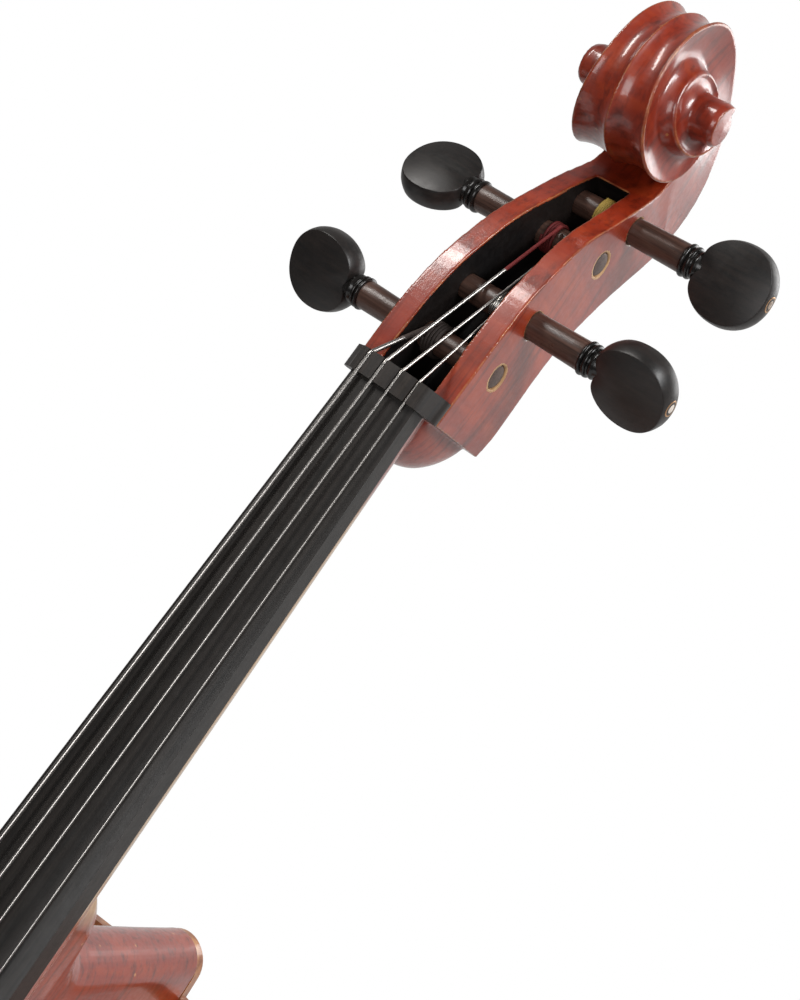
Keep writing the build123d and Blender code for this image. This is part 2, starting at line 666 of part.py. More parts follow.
levers, screws = {}, {}
for key in "cgda":
    lx = lever_x[key]
    with BuildPart() as lever:
        with BuildSketch(Plane(origin=TP(lx - 2.1, tuner_s, 0), x_dir=tp_dir, z_dir=(1, 0, 0))):
            with BuildLine():
                Polyline((9.0, 6.4), (12.5, 6.4), (12.5, -1.0), (4.5, -5.0), (-2.0, -9.5), (-13.0, -10.5), (-13.0, -8.0), (-4.0, -5.5), (-3.2, 0.6), (3.5, 1.6), (9.0, 1.6), close=True)
            make_face()
            with Locations((0, -2.0)):
                Circle(1.0 + running, mode=Mode.SUBTRACT)
        extrude(amount=4.2)
        with BuildSketch(Plane(origin=TP(lx, tuner_s + 10.75, 1.2), x_dir=(1, 0, 0), z_dir=tp_n)):
            Rectangle(1.5, 5.0)
        extrude(amount=8, mode=Mode.SUBTRACT)
    levers[key] = lever.part
    with BuildPart() as screw:
        # knurled head in front of the tailpiece, stem down to the lever's long arm
        with BuildSketch(Plane(origin=TP(lx, tuner_s - 11.0, 6.0), x_dir=(1, 0, 0), z_dir=tp_n)):
            RegularPolygon(4.4, 12)
        extrude(amount=8.0)
        chamfer(screw.faces().sort_by(Axis.Y)[0].edges(), length=0.8)
        with BuildSketch(Plane(origin=TP(lx, tuner_s - 11.0, 6.0), x_dir=(1, 0, 0), z_dir=tp_n)):
            Circle(1.6)
        extrude(amount=-12.7)
    screws[key] = screw.part
with BuildPart() as tuner_bushings:
    for key in "cgda":
        with BuildSketch(Plane(origin=TP(lever_x[key], tuner_s - 11.0, -1.0), x_dir=(1, 0, 0), z_dir=tp_n)):
            Circle(4.2)
            Circle(1.6 + running, mode=Mode.SUBTRACT)
        extrude(amount=6.2)
tailpiece.part = tailpiece.part - tuner_bushings.part

# tail cord: a flat loop from the tailpiece over the saddle to the endpin collar
plug_r = 13.0
cord_r = 1.5
cord_pts = []
with BuildPart() as tail_cord:
    for sgn in (-1, 1):
        pts = [TP(sgn * 7.5, 24, -1.6), TP(sgn * 7.5, -2, -1.6), Vector(sgn * 8.6, -77.6, body_z + 3.0), Vector(sgn * 10.2, -72.6, body_z - 3.6), Vector(sgn * 13.6, -24.0, body_z - 6.0), Vector(sgn * 14.8, 0.0, body_z - 6.2)]
        cord_pts.append(pts)
        with BuildLine():
            FilletPolyline(*pts, radius=[6.0, 4.0, 4.0, 20.0])
        with BuildSketch(Plane(origin=pts[0], z_dir=(pts[1] - pts[0]))):
            Circle(cord_r)
        sweep()
    with BuildLine():
        ThreePointArc((-14.8, 0, body_z - 6.2), (0, 14.8, body_z - 6.2), (14.8, 0, body_z - 6.2))
    with BuildSketch(Plane(origin=(-14.8, 0, body_z - 6.2), z_dir=(0, 1, 0))):
        Circle(cord_r)
    sweep()
tailpiece.part = tailpiece.part - tail_cord.part
saddle.part = saddle.part - tail_cord.part

# ---------------- endpin ----------------
with BuildPart() as endpin_plug:
    with BuildSketch(Plane.XZ):
        with BuildLine():
            Polyline((0, body_z - 20), (14.0, body_z - 20), (15.2, body_z - 17), (15.2, body_z - 9.5), (13.2, body_z - 8.0), (13.2, body_z - 4.4), (16.2, body_z - 2.6), (16.2, body_z + 4.0), (14.175, body_z + 4.0), (12.6, body_z + 46), (0, body_z + 46), close=True)
        make_face()
    revolve(axis=Axis.Z)
    with BuildSketch(Plane.XY.offset(body_z - 30)):
        Circle(endpin_r + 1.6)
    extrude(amount=90, mode=Mode.SUBTRACT)
    # thumb screw hole
    with BuildSketch(Plane.YZ):
        with Locations((0, body_z - 14)):
            Circle(2.5 + running)
    extrude(amount=30, mode=Mode.SUBTRACT)
with BuildPart() as endpin_ferrule:
    with BuildSketch(Plane.XY.offset(body_z - 20)):
        Circle(endpin_r + 1.6)
        Circle(endpin_r + running, mode=Mode.SUBTRACT)
    extrude(amount=66)
    with BuildSketch(Plane.XY.offset(body_z - 22)):
        Circle(10.5)
        Circle(endpin_r + running, mode=Mode.SUBTRACT)
    extrude(amount=2)
    with BuildSketch(Plane.YZ):
        with Locations((0, body_z - 14)):
            Circle(2.5 + running)
    extrude(amount=30, mode=Mode.SUBTRACT)
with BuildPart() as endpin_rod:
    with BuildSketch(Plane.XZ):
        with BuildLine():
            Polyline((0, 24), (endpin_r - 0.6, 24), (endpin_r, 24.6), (endpin_r, endpin_len - 1), (endpin_r - 1, endpin_len), (0, endpin_len), close=True)
        make_face()
    revolve(axis=Axis.Z)
with BuildPart() as endpin_spike:
    with BuildSketch(Plane.XZ):
        with BuildLine():
            Polyline((0, 0), (0.7, 0.8), (3.4, 12), (5.6, 15), (5.6, 24), (0, 24), close=True)
        make_face()
    revolve(axis=Axis.Z)
with BuildPart() as endpin_screw:
    with BuildSketch(Plane(origin=(endpin_r + 0.15, 0, body_z - 14), x_dir=(0, 1, 0), z_dir=(1, 0, 0))):
        Circle(2.5)
    extrude(amount=14.5)
    with BuildSketch(Plane(origin=(endpin_r + 14.65, 0, body_z - 14), x_dir=(0, 1, 0), z_dir=(1, 0, 0))):
        Circle(4.2)
    extrude(amount=4)
    with BuildSketch(Plane(origin=(endpin_r + 18.65, 0, body_z - 14), x_dir=(0, 1, 0), z_dir=(1, 0, 0))):
        SlotOverall(19, 5.0)
    extrude(amount=10)

# ---------------- pegs, their eyes, string windings ----------------
pegs, eyes, windings = {}, {}, {}
head_turn = {"c": 35.0, "a": 52.0, "g": -28.0, "d": 18.0}       # turn of the thumb piece about the peg's axis
wind_x = {"c": -7.6, "a": 6.5, "g": -4.8, "d": 3.9}
wind_in = {"c": -8.0, "a": 9.8, "g": -1.8, "d": 7.2}         # where the string comes in
wind_len = {"c": 7.6, "a": 7.6, "g": 6.6, "d": 7.2}
wind_t = {"c": 1.9, "g": 1.5, "d": 1.25, "a": 1.0}
for key, (pw, pn, side) in peg_axes.items():
    col = collar_x[key]
    tip = -(cheek_hw[key] - 0.8)
    pl = Plane(origin=NF(0, pw, pn), x_dir=(side, 0, 0), z_dir=wv)     # local x runs to the head, y across
    with BuildPart() as peg:
        with BuildSketch(pl):
            with BuildLine():
                Polyline((tip, 0), (tip, peg_r(tip, col) - 0.5), (tip + 0.5, peg_r(tip, col)), (col - 0.6, peg_r(col - 0.6, col)), (col, 7.2), (col + 1.4, 7.7), (col + 2.0, 7.0), (col + 2.6, 7.9), (col + 4.0, 8.1), (col + 4.8, 7.3), (col + 6.0, 6.0), (col + 9.0, 5.0), (col + 9.0, 0), close=True)
            make_face()
        revolve(axis=Axis(origin=NF(0, pw, pn), direction=(1, 0, 0)))
        ha = math.radians(head_turn[key])
        u = wv * math.cos(ha) + nv * math.sin(ha)
        t = wv * -math.sin(ha) + nv * math.cos(ha)
        hp = Plane(origin=NF(side * (col + 22.0), pw, pn) - t * 5.4, x_dir=(side, 0, 0), z_dir=t)
        with BuildSketch(hp):
            with BuildLine():
                Spline((-17.0, 0), (-14.5, 8.5), (-6.5, 15.6), (3.5, 16.6), (12.5, 11.5), (17.0, 3.4), tangents=[(0.0, 1.0), (0.25, -1.0)])
                Line((17.0, 3.4), (17.0, -3.4))
                Spline((17.0, -3.4), (12.5, -11.5), (3.5, -16.6), (-6.5, -15.6), (-14.5, -8.5), (-17.0, 0), tangents=[(-0.25, -1.0), (0.0, 1.0)])
            make_face()
        extrude(amount=10.8)
        # hollow both cheeks of the thumb piece
        for s in (-1, 1):
            cs = Solid.make_sphere(46.0).moved(Location(NF(side * (col + 22.5), pw, pn) + t * (s * 49.6)))
            add(cs, mode=Mode.SUBTRACT)
    pegs[key] = peg.part.solids().sort_by(SortBy.VOLUME)[-1]
    with BuildPart() as eye:
        with BuildSketch(Plane(origin=NF(side * (col + 37.6), pw, pn), x_dir=wv, z_dir=(side, 0, 0))):
            Circle(3.0)
        extrude(amount=2.0)
    pegs[key] = pegs[key] - eye.part
    eyes[key] = eye.part
    wx = wind_x[key]
    with BuildPart() as wind:
        r_in = peg_r(side * wx, col)
        with BuildSketch(side_at(wx - wind_len[key] / 2)):
            with Locations((pw, pn)):
                Circle(r_in + wind_t[key] + 0.02)
                Circle(r_in + 0.02, mode=Mode.SUBTRACT)
        extrude(amount=wind_len[key])
    windings[key] = wind.part - pegs[key]

# ---------------- strings ----------------
strings, string_pts = {}, {}
for key, (pw, pn, side) in peg_axes.items():
    d = string_d[key]
    x0, w0, n0 = nut_pt(key)
    wx = wind_x[key]
    # leaves the winding at its front, tangent to it
    rw = peg_r(side * wx, collar_x[key]) + wind_t[key] + d / 2 + 0.25
    dw, dn = pw - 9.0, pn - n0
    dist = math.hypot(dw, dn)
    ang = math.atan2(dn, dw)
    off = math.asin(rw / dist)
    tang = math.sqrt(dist * dist - rw * rw)
    a = ang + off
    e_w, e_n = 9.0 + tang * math.cos(a), n0 + tang * math.sin(a)
    p_end = NF(wind_in[key], e_w, e_n)
    p_nut = NF(x0, 9.0, n0 - 0.15)
    p_nut2 = NF(x0, -0.6, n0 - 0.02)
    p_bridge = bridge_top[key]
    p_tail = TP(lever_x[key], tp_len - 4.0, 6.6 - (0.0 if abs(string_x[key]) < 1 else 1.6))
    p_lever = TP(lever_x[key], tuner_s + 12.9, 4.4)
    string_pts[key] = [p_end, p_nut, p_nut2, p_bridge, p_tail]
    with BuildPart() as st:
        with BuildLine():
            FilletPolyline(p_end, NF(x0, 8.4, n0 - 0.1), p_bridge, p_tail, radius=[3.0, 6.0])
        with BuildSketch(Plane(origin=p_end, z_dir=(NF(x0, 8.4, n0 - 0.1) - p_end))):
            Circle(d / 2)
        sweep()
    strings[key] = st.part

for st in strings.values():
    bridge.part = bridge.part - st
    nut.part = nut.part - st
bridge.part = bridge.part.solids().sort_by(SortBy.VOLUME)[-1]
nut.part = nut.part.solids().sort_by(SortBy.VOLUME)[-1]

nodes = {
    "top_plate": top_plate.part, "back_plate": back_plate.part, "purfling_front": purfling_front.part, "purfling_back": purfling_back.part,
    "upper_block": upper_block.part, "lower_block": lower_block.part, "corner_blocks": corner_blocks_part, "linings_front": linings_front.part, "linings_back": linings_back.part,
    "bass_bar": bass_bar.part, "sound_post": sound_post.part, "fingerboard": fingerboard.part, "nut": nut.part, "saddle": saddle.part, "bridge": bridge.part,
    "tailpiece": tailpiece.part, "tail_fret": tail_fret.part, "tuner_pins": tuner_pins.part, "tuner_bushings": tuner_bushings.part, "tail_cord": tail_cord.part,
    "endpin_plug": endpin_plug.part, "endpin_ferrule": endpin_ferrule.part, "endpin_rod": endpin_rod.part, "endpin_spike": endpin_spike.part, "endpin_screw": endpin_screw.part,
}
for (nm, side), s in ribs.items():
    nodes["rib_%s_%s" % (nm, side)] = s
for key in "cgda":
    nodes["peg_" + key] = pegs[key]
    nodes["peg_eye_" + key] = eyes[key]
    nodes["winding_" + key] = windings[key]
    nodes["string_" + key] = strings[key]
    nodes["tuner_lever_" + key] = levers[key]
    nodes["tuner_screw_" + key] = screws[key]
for nm, s in nodes.items():
    s.label = nm
    export_step(s, "parts/%s.step" % nm)
print("nodes", len(nodes) + 1)
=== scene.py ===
import bpy
import bmesh
import math
import numpy as np
from mathutils import Vector, Matrix


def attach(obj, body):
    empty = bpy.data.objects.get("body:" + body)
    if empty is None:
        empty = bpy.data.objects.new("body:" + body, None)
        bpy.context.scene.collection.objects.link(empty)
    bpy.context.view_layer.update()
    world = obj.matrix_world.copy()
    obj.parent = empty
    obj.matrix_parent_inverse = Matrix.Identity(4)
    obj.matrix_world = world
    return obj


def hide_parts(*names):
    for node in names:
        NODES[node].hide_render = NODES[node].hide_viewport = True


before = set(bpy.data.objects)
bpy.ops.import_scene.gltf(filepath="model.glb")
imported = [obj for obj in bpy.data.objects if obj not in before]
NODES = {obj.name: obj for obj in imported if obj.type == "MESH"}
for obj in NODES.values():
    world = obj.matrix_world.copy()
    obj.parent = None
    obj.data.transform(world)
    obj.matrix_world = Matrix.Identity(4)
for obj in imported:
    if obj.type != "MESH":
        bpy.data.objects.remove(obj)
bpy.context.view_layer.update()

S10, C10 = math.sin(math.radians(10.0)), math.cos(math.radians(10.0))
OY, OZ = -0.04772934, 1.20402532        # neck frame origin: top of the fingerboard at the nut


def nf(p):
    """(x, w, n) in millimetres, neck frame -> row frame in metres."""
    p = np.asarray(p, float) / 1000.0
    q = np.empty_like(p)
    q[..., 0] = p[..., 0]
    q[..., 1] = OY + p[..., 1] * S10 - p[..., 2] * C10
    q[..., 2] = OZ + p[..., 1] * C10 + p[..., 2] * S10
    return q


def table(tab, t):
    """Monotone cubic through a table of (t, value)."""
    xs = np.array([a for a, b in tab], float)
    ys = np.array([b for a, b in tab], float)
    h = np.diff(xs)
    d = np.diff(ys) / h
    m = np.zeros_like(ys)
    m[0], m[-1] = d[0], d[-1]
    for i in range(1, len(ys) - 1):
        if d[i - 1] * d[i] > 0:
            w1, w2 = 2 * h[i] + h[i - 1], h[i] + 2 * h[i - 1]
            m[i] = (w1 + w2) / (w1 / d[i - 1] + w2 / d[i])
    t = np.clip(np.asarray(t, float), xs[0], xs[-1])
    k = np.clip(np.searchsorted(xs, t, side="right") - 1, 0, len(h) - 1)
    s = (t - xs[k]) / h[k]
    return ((1 + 2 * s) * (1 - s) ** 2 * ys[k] + s * (1 - s) ** 2 * h[k] * m[k]
            + s * s * (3 - 2 * s) * ys[k + 1] + s * s * (s - 1) * h[k] * m[k + 1])


def ease(t):
    t = np.clip(t, 0.0, 1.0)
    return t * t * (3 - 2 * t)


# ------------------------------------------------------------------ mesh helpers
def raw_object(name, verts, faces, merge=0.0):
    me = bpy.data.meshes.new(name)
    me.from_pydata([tuple(v) for v in np.asarray(verts, float)], [], [tuple(int(i) for i in f) for f in faces])
    bm = bmesh.new()
    bm.from_mesh(me)
    if merge:
        bmesh.ops.remove_doubles(bm, verts=bm.verts, dist=merge)
    bmesh.ops.dissolve_degenerate(bm, dist=1e-7, edges=bm.edges)
    bmesh.ops.recalc_face_normals(bm, faces=bm.faces)
    bm.to_mesh(me)
    bm.free()
    ob = bpy.data.objects.new(name, me)
    bpy.context.scene.collection.objects.link(ob)
    return ob


def smooth(me, sharp=38):
    me.polygons.foreach_set("use_smooth", [True] * len(me.polygons))
    if sharp:
        me.set_sharp_from_angle(angle=math.radians(sharp))
    me.update()


def piece(name, parts, body, replaces=(), sharp=38, merge=1e-7):
    """parts: list of (verts in metres, faces, material)."""
    verts, faces, idx, mats = [], [], [], []
    for v, f, m in parts:
        if m not in mats:
            mats.append(m)
        k = len(verts)
        verts.extend([tuple(p) for p in np.asarray(v, float)])
        faces.extend([tuple(int(i) + k for i in g) for g in f])
        idx.extend([mats.index(m)] * len(f))
    me = bpy.data.meshes.new(name)
    me.from_pydata(verts, [], faces)
    for m in mats:
        me.materials.append(m)
    me.polygons.foreach_set("material_index", idx)
    bm = bmesh.new()
    bm.from_mesh(me)
    bmesh.ops.remove_doubles(bm, verts=bm.verts, dist=merge)
    bmesh.ops.recalc_face_normals(bm, faces=bm.faces)
    bm.to_mesh(me)
    bm.free()
    smooth(me, sharp)
    ob = bpy.data.objects.new(name, me)
    bpy.context.scene.collection.objects.link(ob)
    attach(ob, body)
    if replaces:
        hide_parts(*replaces)
    return ob


def loft(rings, close_ring=True, cap0=True, cap1=True):
    n = len(rings[0])
    v = np.concatenate(rings)
    f = []
    for i in range(len(rings) - 1):
        for j in range(n if close_ring else n - 1):
            a, b = i * n + j, i * n + (j + 1) % n
            f.append((a, b, b + n, a + n))
    if cap0:
        c = len(v)
        v = np.vstack([v, rings[0].mean(0)])
        f += [(j, c, (j + 1) % n) for j in range(n)]
    if cap1:
        c = len(v)
        v = np.vstack([v, rings[-1].mean(0)])
        k = (len(rings) - 1) * n
        f += [(k + j, k + (j + 1) % n, c) for j in range(n)]
    return v, f


def catmull(rings, sub):
    """Rings of the same size, with smooth rings put between them."""
    out = []
    m = len(rings)
    for i in range(m - 1):
        p0, p1, p2, p3 = rings[max(i - 1, 0)], rings[i], rings[i + 1], rings[min(i + 2, m - 1)]
        for k in range(sub):
            t = k / sub
            out.append(0.5 * (2 * p1 + (p2 - p0) * t + (2 * p0 - 5 * p1 + 4 * p2 - p3) * t * t + (3 * p1 - p0 - 3 * p2 + p3) * t ** 3))
    out.append(rings[-1])
    return out


def sweep(points, radius, seg=12, radii=None):
    """Round tube along points (metres), with closed ends."""
    p = np.asarray(points, float)
    t = np.gradient(p, axis=0)
    t /= np.linalg.norm(t, axis=1)[:, None]
    a = np.cross(t[0], [0.0, 0.0, 1.0])
    if np.linalg.norm(a) < 1e-3:
        a = np.cross(t[0], [0.0, 1.0, 0.0])
    rings = []
    for i in range(len(p)):
        a = a - t[i] * a.dot(t[i])
        a /= np.linalg.norm(a)
        b = np.cross(t[i], a)
        r = radius if radii is None else radii[i]
        rings.append(np.array([p[i] + r * (math.cos(q) * a + math.sin(q) * b) for q in np.linspace(0, 2 * math.pi, seg, endpoint=False)]))
    return loft(rings)


def boolean(ob, cutter, op="DIFFERENCE"):
    m = ob.modifiers.new("b", "BOOLEAN")
    m.object, m.operation, m.solver = cutter, op, "EXACT"
    bake(ob)
    bpy.data.objects.remove(cutter)


def bake(ob):
    dg = bpy.context.evaluated_depsgraph_get()
    dg.update()
    me = bpy.data.meshes.new_from_object(ob.evaluated_get(dg))
    ob.modifiers.clear()
    ob.data = me


def mesh_arrays(ob):
    me = ob.data
    co = np.zeros(len(me.vertices) * 3)
    me.vertices.foreach_get("co", co)
    return co.reshape(-1, 3), [tuple(p.vertices) for p in me.polygons]


def joined(name, objs):
    v, f = [], []
    k = 0
    for o in objs:
        a, b = mesh_arrays(o)
        v.append(a)
        f += [tuple(i + k for i in g) for g in b]
        k += len(a)
        bpy.data.objects.remove(o)
    me = bpy.data.meshes.new(name)
    me.from_pydata([tuple(p) for p in np.concatenate(v)], [], f)
    ob = bpy.data.objects.new(name, me)
    bpy.context.scene.collection.objects.link(ob)
    return ob


def voxel(ob, size, passes):
    m = ob.modifiers.new("r", "REMESH")
    m.mode, m.voxel_size, m.adaptivity = "VOXEL", size, 0.0
    s = ob.modifiers.new("s", "SMOOTH")
    s.factor, s.iterations = 0.5, passes
    bake(ob)


# ------------------------------------------------------------------ materials
class Mat:
    def __init__(self, name):
        self.m = bpy.data.materials.new(name)
        self.m.use_nodes = True
        self.t = self.m.node_tree
        self.t.nodes.clear()
        self.out = self.node("ShaderNodeOutputMaterial")
        self.b = self.node("ShaderNodeBsdfPrincipled")
        self.link(self.b.outputs[0], self.out.inputs[0])
        self.co = self.node("ShaderNodeTexCoord").outputs["Object"]
        self.neck = self.map((1, 1, 1), rot=(math.radians(10), 0, 0))

    def node(self, kind, **props):
        n = self.t.nodes.new(kind)
        for k, v in props.items():
            setattr(n, k, v)
        return n

    def link(self, a, b):
        self.t.links.new(a, b)

    def map(self, scale, rot=(0, 0, 0), src=None, loc=(0, 0, 0)):
        n = self.node("ShaderNodeMapping")
        n.inputs["Scale"].default_value = scale
        n.inputs["Rotation"].default_value = rot
        n.inputs["Location"].default_value = loc
        self.link(src or self.co, n.inputs["Vector"])
        return n.outputs[0]

    def noise(self, src, scale=1.0, detail=4.0, rough=0.55, dist=0.0):
        n = self.node("ShaderNodeTexNoise")
        n.inputs["Scale"].default_value = scale
        n.inputs["Detail"].default_value = detail
        n.inputs["Roughness"].default_value = rough
        n.inputs["Distortion"].default_value = dist
        self.link(src, n.inputs["Vector"])
        return n.outputs["Fac"]

    def ramp(self, src, stops, interp="LINEAR"):
        n = self.node("ShaderNodeValToRGB")
        n.color_ramp.interpolation = interp
        e = n.color_ramp.elements
        while len(e) < len(stops):
            e.new(0.5)
        for i, (p, c) in enumerate(stops):
            e[i].position = p
            e[i].color = (*c, 1.0) if not isinstance(c, (int, float)) else (c, c, c, 1.0)
        self.link(src, n.inputs[0])
        return n.outputs[0]

    def mix(self, fac, a, b, mode="MIX"):
        n = self.node("ShaderNodeMix", data_type="RGBA", blend_type=mode)
        for sock, val in ((n.inputs["Factor"], fac), (n.inputs[6], a), (n.inputs[7], b)):
            if isinstance(val, (int, float)):
                sock.default_value = val
            elif isinstance(val, tuple):
                sock.default_value = (*val, 1.0)
            else:
                self.link(val, sock)
        return n.outputs[2]

    def axis(self, src, k):
        n = self.node("ShaderNodeSeparateXYZ")
        self.link(src, n.inputs[0])
        return n.outputs[k]

    def range(self, src, a, b, c=0.0, d=1.0):
        n = self.node("ShaderNodeMapRange", interpolation_type="SMOOTHSTEP")
        self.link(src, n.inputs[0])
        n.inputs[1].default_value, n.inputs[2].default_value = a, b
        n.inputs[3].default_value, n.inputs[4].default_value = c, d
        return n.outputs[0]

    def math(self, op, a, b):
        n = self.node("ShaderNodeMath", operation=op)
        for s, v in ((n.inputs[0], a), (n.inputs[1], b)):
            if isinstance(v, (int, float)):
                s.default_value = v
            else:
                self.link(v, s)
        return n.outputs[0]

    def bump(self, src, strength, distance, normal=None, coat=False):
        n = self.node("ShaderNodeBump")
        n.inputs["Strength"].default_value = strength
        n.inputs["Distance"].default_value = distance
        self.link(src, n.inputs["Height"])
        if normal:
            self.link(normal, n.inputs["Normal"])
        return n.outputs[0]

    def set(self, **kw):
        names = {"color": "Base Color", "rough": "Roughness", "metal": "Metallic", "coat": "Coat Weight", "coat_rough": "Coat Roughness",
                 "spec": "Specular IOR Level", "normal": "Normal", "coat_normal": "Coat Normal", "aniso": "Anisotropic"}
        for k, v in kw.items():
            s = self.b.inputs[names[k]]
            if isinstance(v, (int, float)):
                s.default_value = v
            elif isinstance(v, tuple):
                s.default_value = (*v, 1.0)
            else:
                self.link(v, s)
        return self.m


def varnished(name, dark, mid, light, flame=(28, 28, 130), grain=(260, 260, 14), neck=True, speckle=True, edge_wear_and_highlight=(0.56, 0.24, 0.075), golden=False):
    m = Mat(name)
    base = m.neck if neck else m.co
    fl = m.noise(m.map(flame, src=base), 1.0, 3.0, 0.5, 0.6)
    gr = m.noise(m.map(grain, src=base), 1.0, 6.0, 0.62, 0.2)
    cloud = m.noise(base, 14.0, 3.0, 0.5)
    c = m.ramp(fl, [(0.30, dark), (0.52, mid), (0.72, light)])
    c = m.mix(0.45, c, m.ramp(cloud, [(0.25, tuple(0.6 * q + 0.4 * r for q, r in zip(mid, dark))), (0.5, mid), (0.75, light)]))
    c = m.mix(m.ramp(gr, [(0.30, 0.75), (0.52, 0.0)]), c, tuple(x * 0.45 for x in dark))
    geo = m.node("ShaderNodeNewGeometry")
    # convex edges get a lighter golden colour: partly rubbed-through varnish, partly a painted edge highlight
    edge = m.ramp(geo.outputs["Pointiness"], [(0.520, 0.0), (0.565, 1.0)])
    edge = m.math("MULTIPLY", edge, m.ramp(m.noise(base, 160.0, 4.0, 0.6), [(0.38, 0.15), (0.62, 0.85)]))
    c = m.mix(edge, c, edge_wear_and_highlight)
    # painted shade: the varnish colour is darkened in concave hollows such as the throat and other crevices
    painted_crevice_shade = m.ramp(geo.outputs["Pointiness"], [(0.40, 0.85), (0.492, 0.0)])
    c = m.mix(painted_crevice_shade, c, tuple(x * 0.25 for x in dark))
    if golden:
        w = m.axis(m.neck, 2)
        gold = m.ramp(m.noise(m.map((240, 240, 12), src=m.neck), 1.0, 6.0, 0.6, 0.2), [(0.3, (0.33, 0.17, 0.065)), (0.6, (0.55, 0.34, 0.16))])
        gold = m.mix(m.ramp(m.noise(m.map((30, 30, 140), src=m.neck), 1.0, 2.0), [(0.42, 0.0), (0.62, 0.35)]), gold, (0.30, 0.14, 0.05))
        wob = m.math("MULTIPLY", m.noise(m.neck, 60.0, 2.0), 0.012)
        w2 = m.math("ADD", w, wob)
        # shaft between the two worn, shaded ends
        k = m.math("MULTIPLY", m.range(w2, 1.17744 - 0.222, 1.17744 - 0.206), m.range(w2, 1.17744 - 0.022, 1.17744 - 0.042))
        c = m.mix(k, c, gold)
    fine = m.noise(base, 1500.0 if speckle else 600.0, 3.0, 0.6)
    long = m.noise(m.map((900, 900, 40), src=base), 1.0, 5.0, 0.6)
    h = m.math("ADD", m.math("MULTIPLY", fine, 0.55), m.math("MULTIPLY", long, 0.45))
    nrm = m.bump(h, 0.22, 0.00022)
    low = m.bump(m.noise(base, 70.0, 2.0, 0.5), 0.06, 0.0010, nrm)
    scr = m.noise(base, 420.0, 4.0, 0.6)
    m.set(color=c, rough=m.ramp(scr, [(0.3, 0.36), (0.7, 0.52)]), coat=0.9, coat_rough=m.ramp(scr, [(0.3, 0.07), (0.72, 0.20)]), normal=low, coat_normal=low, spec=0.5)
    return m.m


def ebony(name, dark=(0.010, 0.009, 0.0085), brown=(0.030, 0.020, 0.016), grain=(700, 700, 22), neck=True, rough=(0.34, 0.50), marks=0.16, amount=0.45):
    m = Mat(name)
    base = m.neck if neck else m.co
    g = m.noise(m.map(grain, src=base), 1.0, 7.0, 0.65, 0.25)
    g2 = m.noise(m.map(tuple(x * 0.3 for x in grain), src=base), 1.0, 3.0, 0.5)
    c = m.ramp(g, [(0.34, dark), (0.66, brown)])
    c = m.mix(m.ramp(g2, [(0.45, 0.0), (0.70, amount)]), c, brown)
    sp = m.noise(base, 1900.0, 3.0, 0.6)
    h = m.math("ADD", m.math("MULTIPLY", g, 0.6), m.math("MULTIPLY", sp, 0.4))
    m.set(color=c, rough=m.ramp(m.noise(base, 260.0, 5.0, 0.65), [(0.28, rough[0]), (0.72, rough[1])]), normal=m.bump(h, marks, 0.00025), spec=0.5)
    return m.m


def metal(name, color, rough=(0.16, 0.34), bands=0.0, scale=600.0, axis_neck=True):
    m = Mat(name)
    base = m.neck if axis_neck else m.co
    n1 = m.noise(base, scale, 4.0, 0.6)
    c = m.mix(m.ramp(m.noise(base, 90.0, 4.0, 0.6), [(0.35, 0.0), (0.75, 0.35)]), color, tuple(x * 0.62 for x in color))
    h = n1
    if bands:
        wv = m.node("ShaderNodeTexWave", wave_type="BANDS", bands_direction="Z", wave_profile="SIN")
        wv.inputs["Scale"].default_value = bands
        wv.inputs["Distortion"].default_value = 0.3
        m.link(base, wv.inputs["Vector"])
        h = m.math("ADD", m.math("MULTIPLY", wv.outputs["Fac"], 0.8), m.math("MULTIPLY", n1, 0.2))
        # painted shade: darker bands in the grooves between the wound turns
        c = m.mix(m.ramp(wv.outputs["Fac"], [(0.0, 0.45), (0.35, 0.0)]), c, tuple(x * 0.35 for x in color))
    m.set(color=c, metal=1.0, rough=m.ramp(n1, [(0.3, rough[0]), (0.7, rough[1])]), normal=m.bump(h, 0.35 if bands else 0.12, 0.00012 if bands else 0.0001))
    return m.m


def cloth_thread(name, color, axis="X", bands=420.0):
    m = Mat(name)
    wv = m.node("ShaderNodeTexWave", wave_type="BANDS", bands_direction=axis, wave_profile="SIN")
    wv.inputs["Scale"].default_value = bands
    wv.inputs["Distortion"].default_value = 1.2
    m.link(m.neck, wv.inputs["Vector"])
    n = m.noise(m.neck, 2600.0, 3.0, 0.6)
    c = m.mix(m.ramp(n, [(0.3, 0.0), (0.7, 0.6)]), color, tuple(x * 0.4 for x in color))
    m.set(color=c, rough=m.ramp(n, [(0.3, 0.55), (0.7, 0.8)]), normal=m.bump(m.math("ADD", wv.outputs["Fac"], n), 0.4, 0.00012))
    return m.m


RED_D, RED_M, RED_L = (0.15, 0.010, 0.0025), (0.28, 0.024, 0.005), (0.40, 0.052, 0.009)
M_HEAD = varnished("varnish_head", RED_D, RED_M, RED_L, golden=True)
M_MAPLE = varnished("varnish_maple", (0.13, 0.026, 0.010), (0.29, 0.075, 0.024), (0.47, 0.17, 0.055), flame=(14, 14, 120), grain=(220, 220, 10), neck=False, speckle=False)
M_BACK = varnished("varnish_back", (0.12, 0.024, 0.010), (0.28, 0.072, 0.024), (0.46, 0.17, 0.055), flame=(16, 16, 110), grain=(240, 240, 9), neck=False, speckle=False)


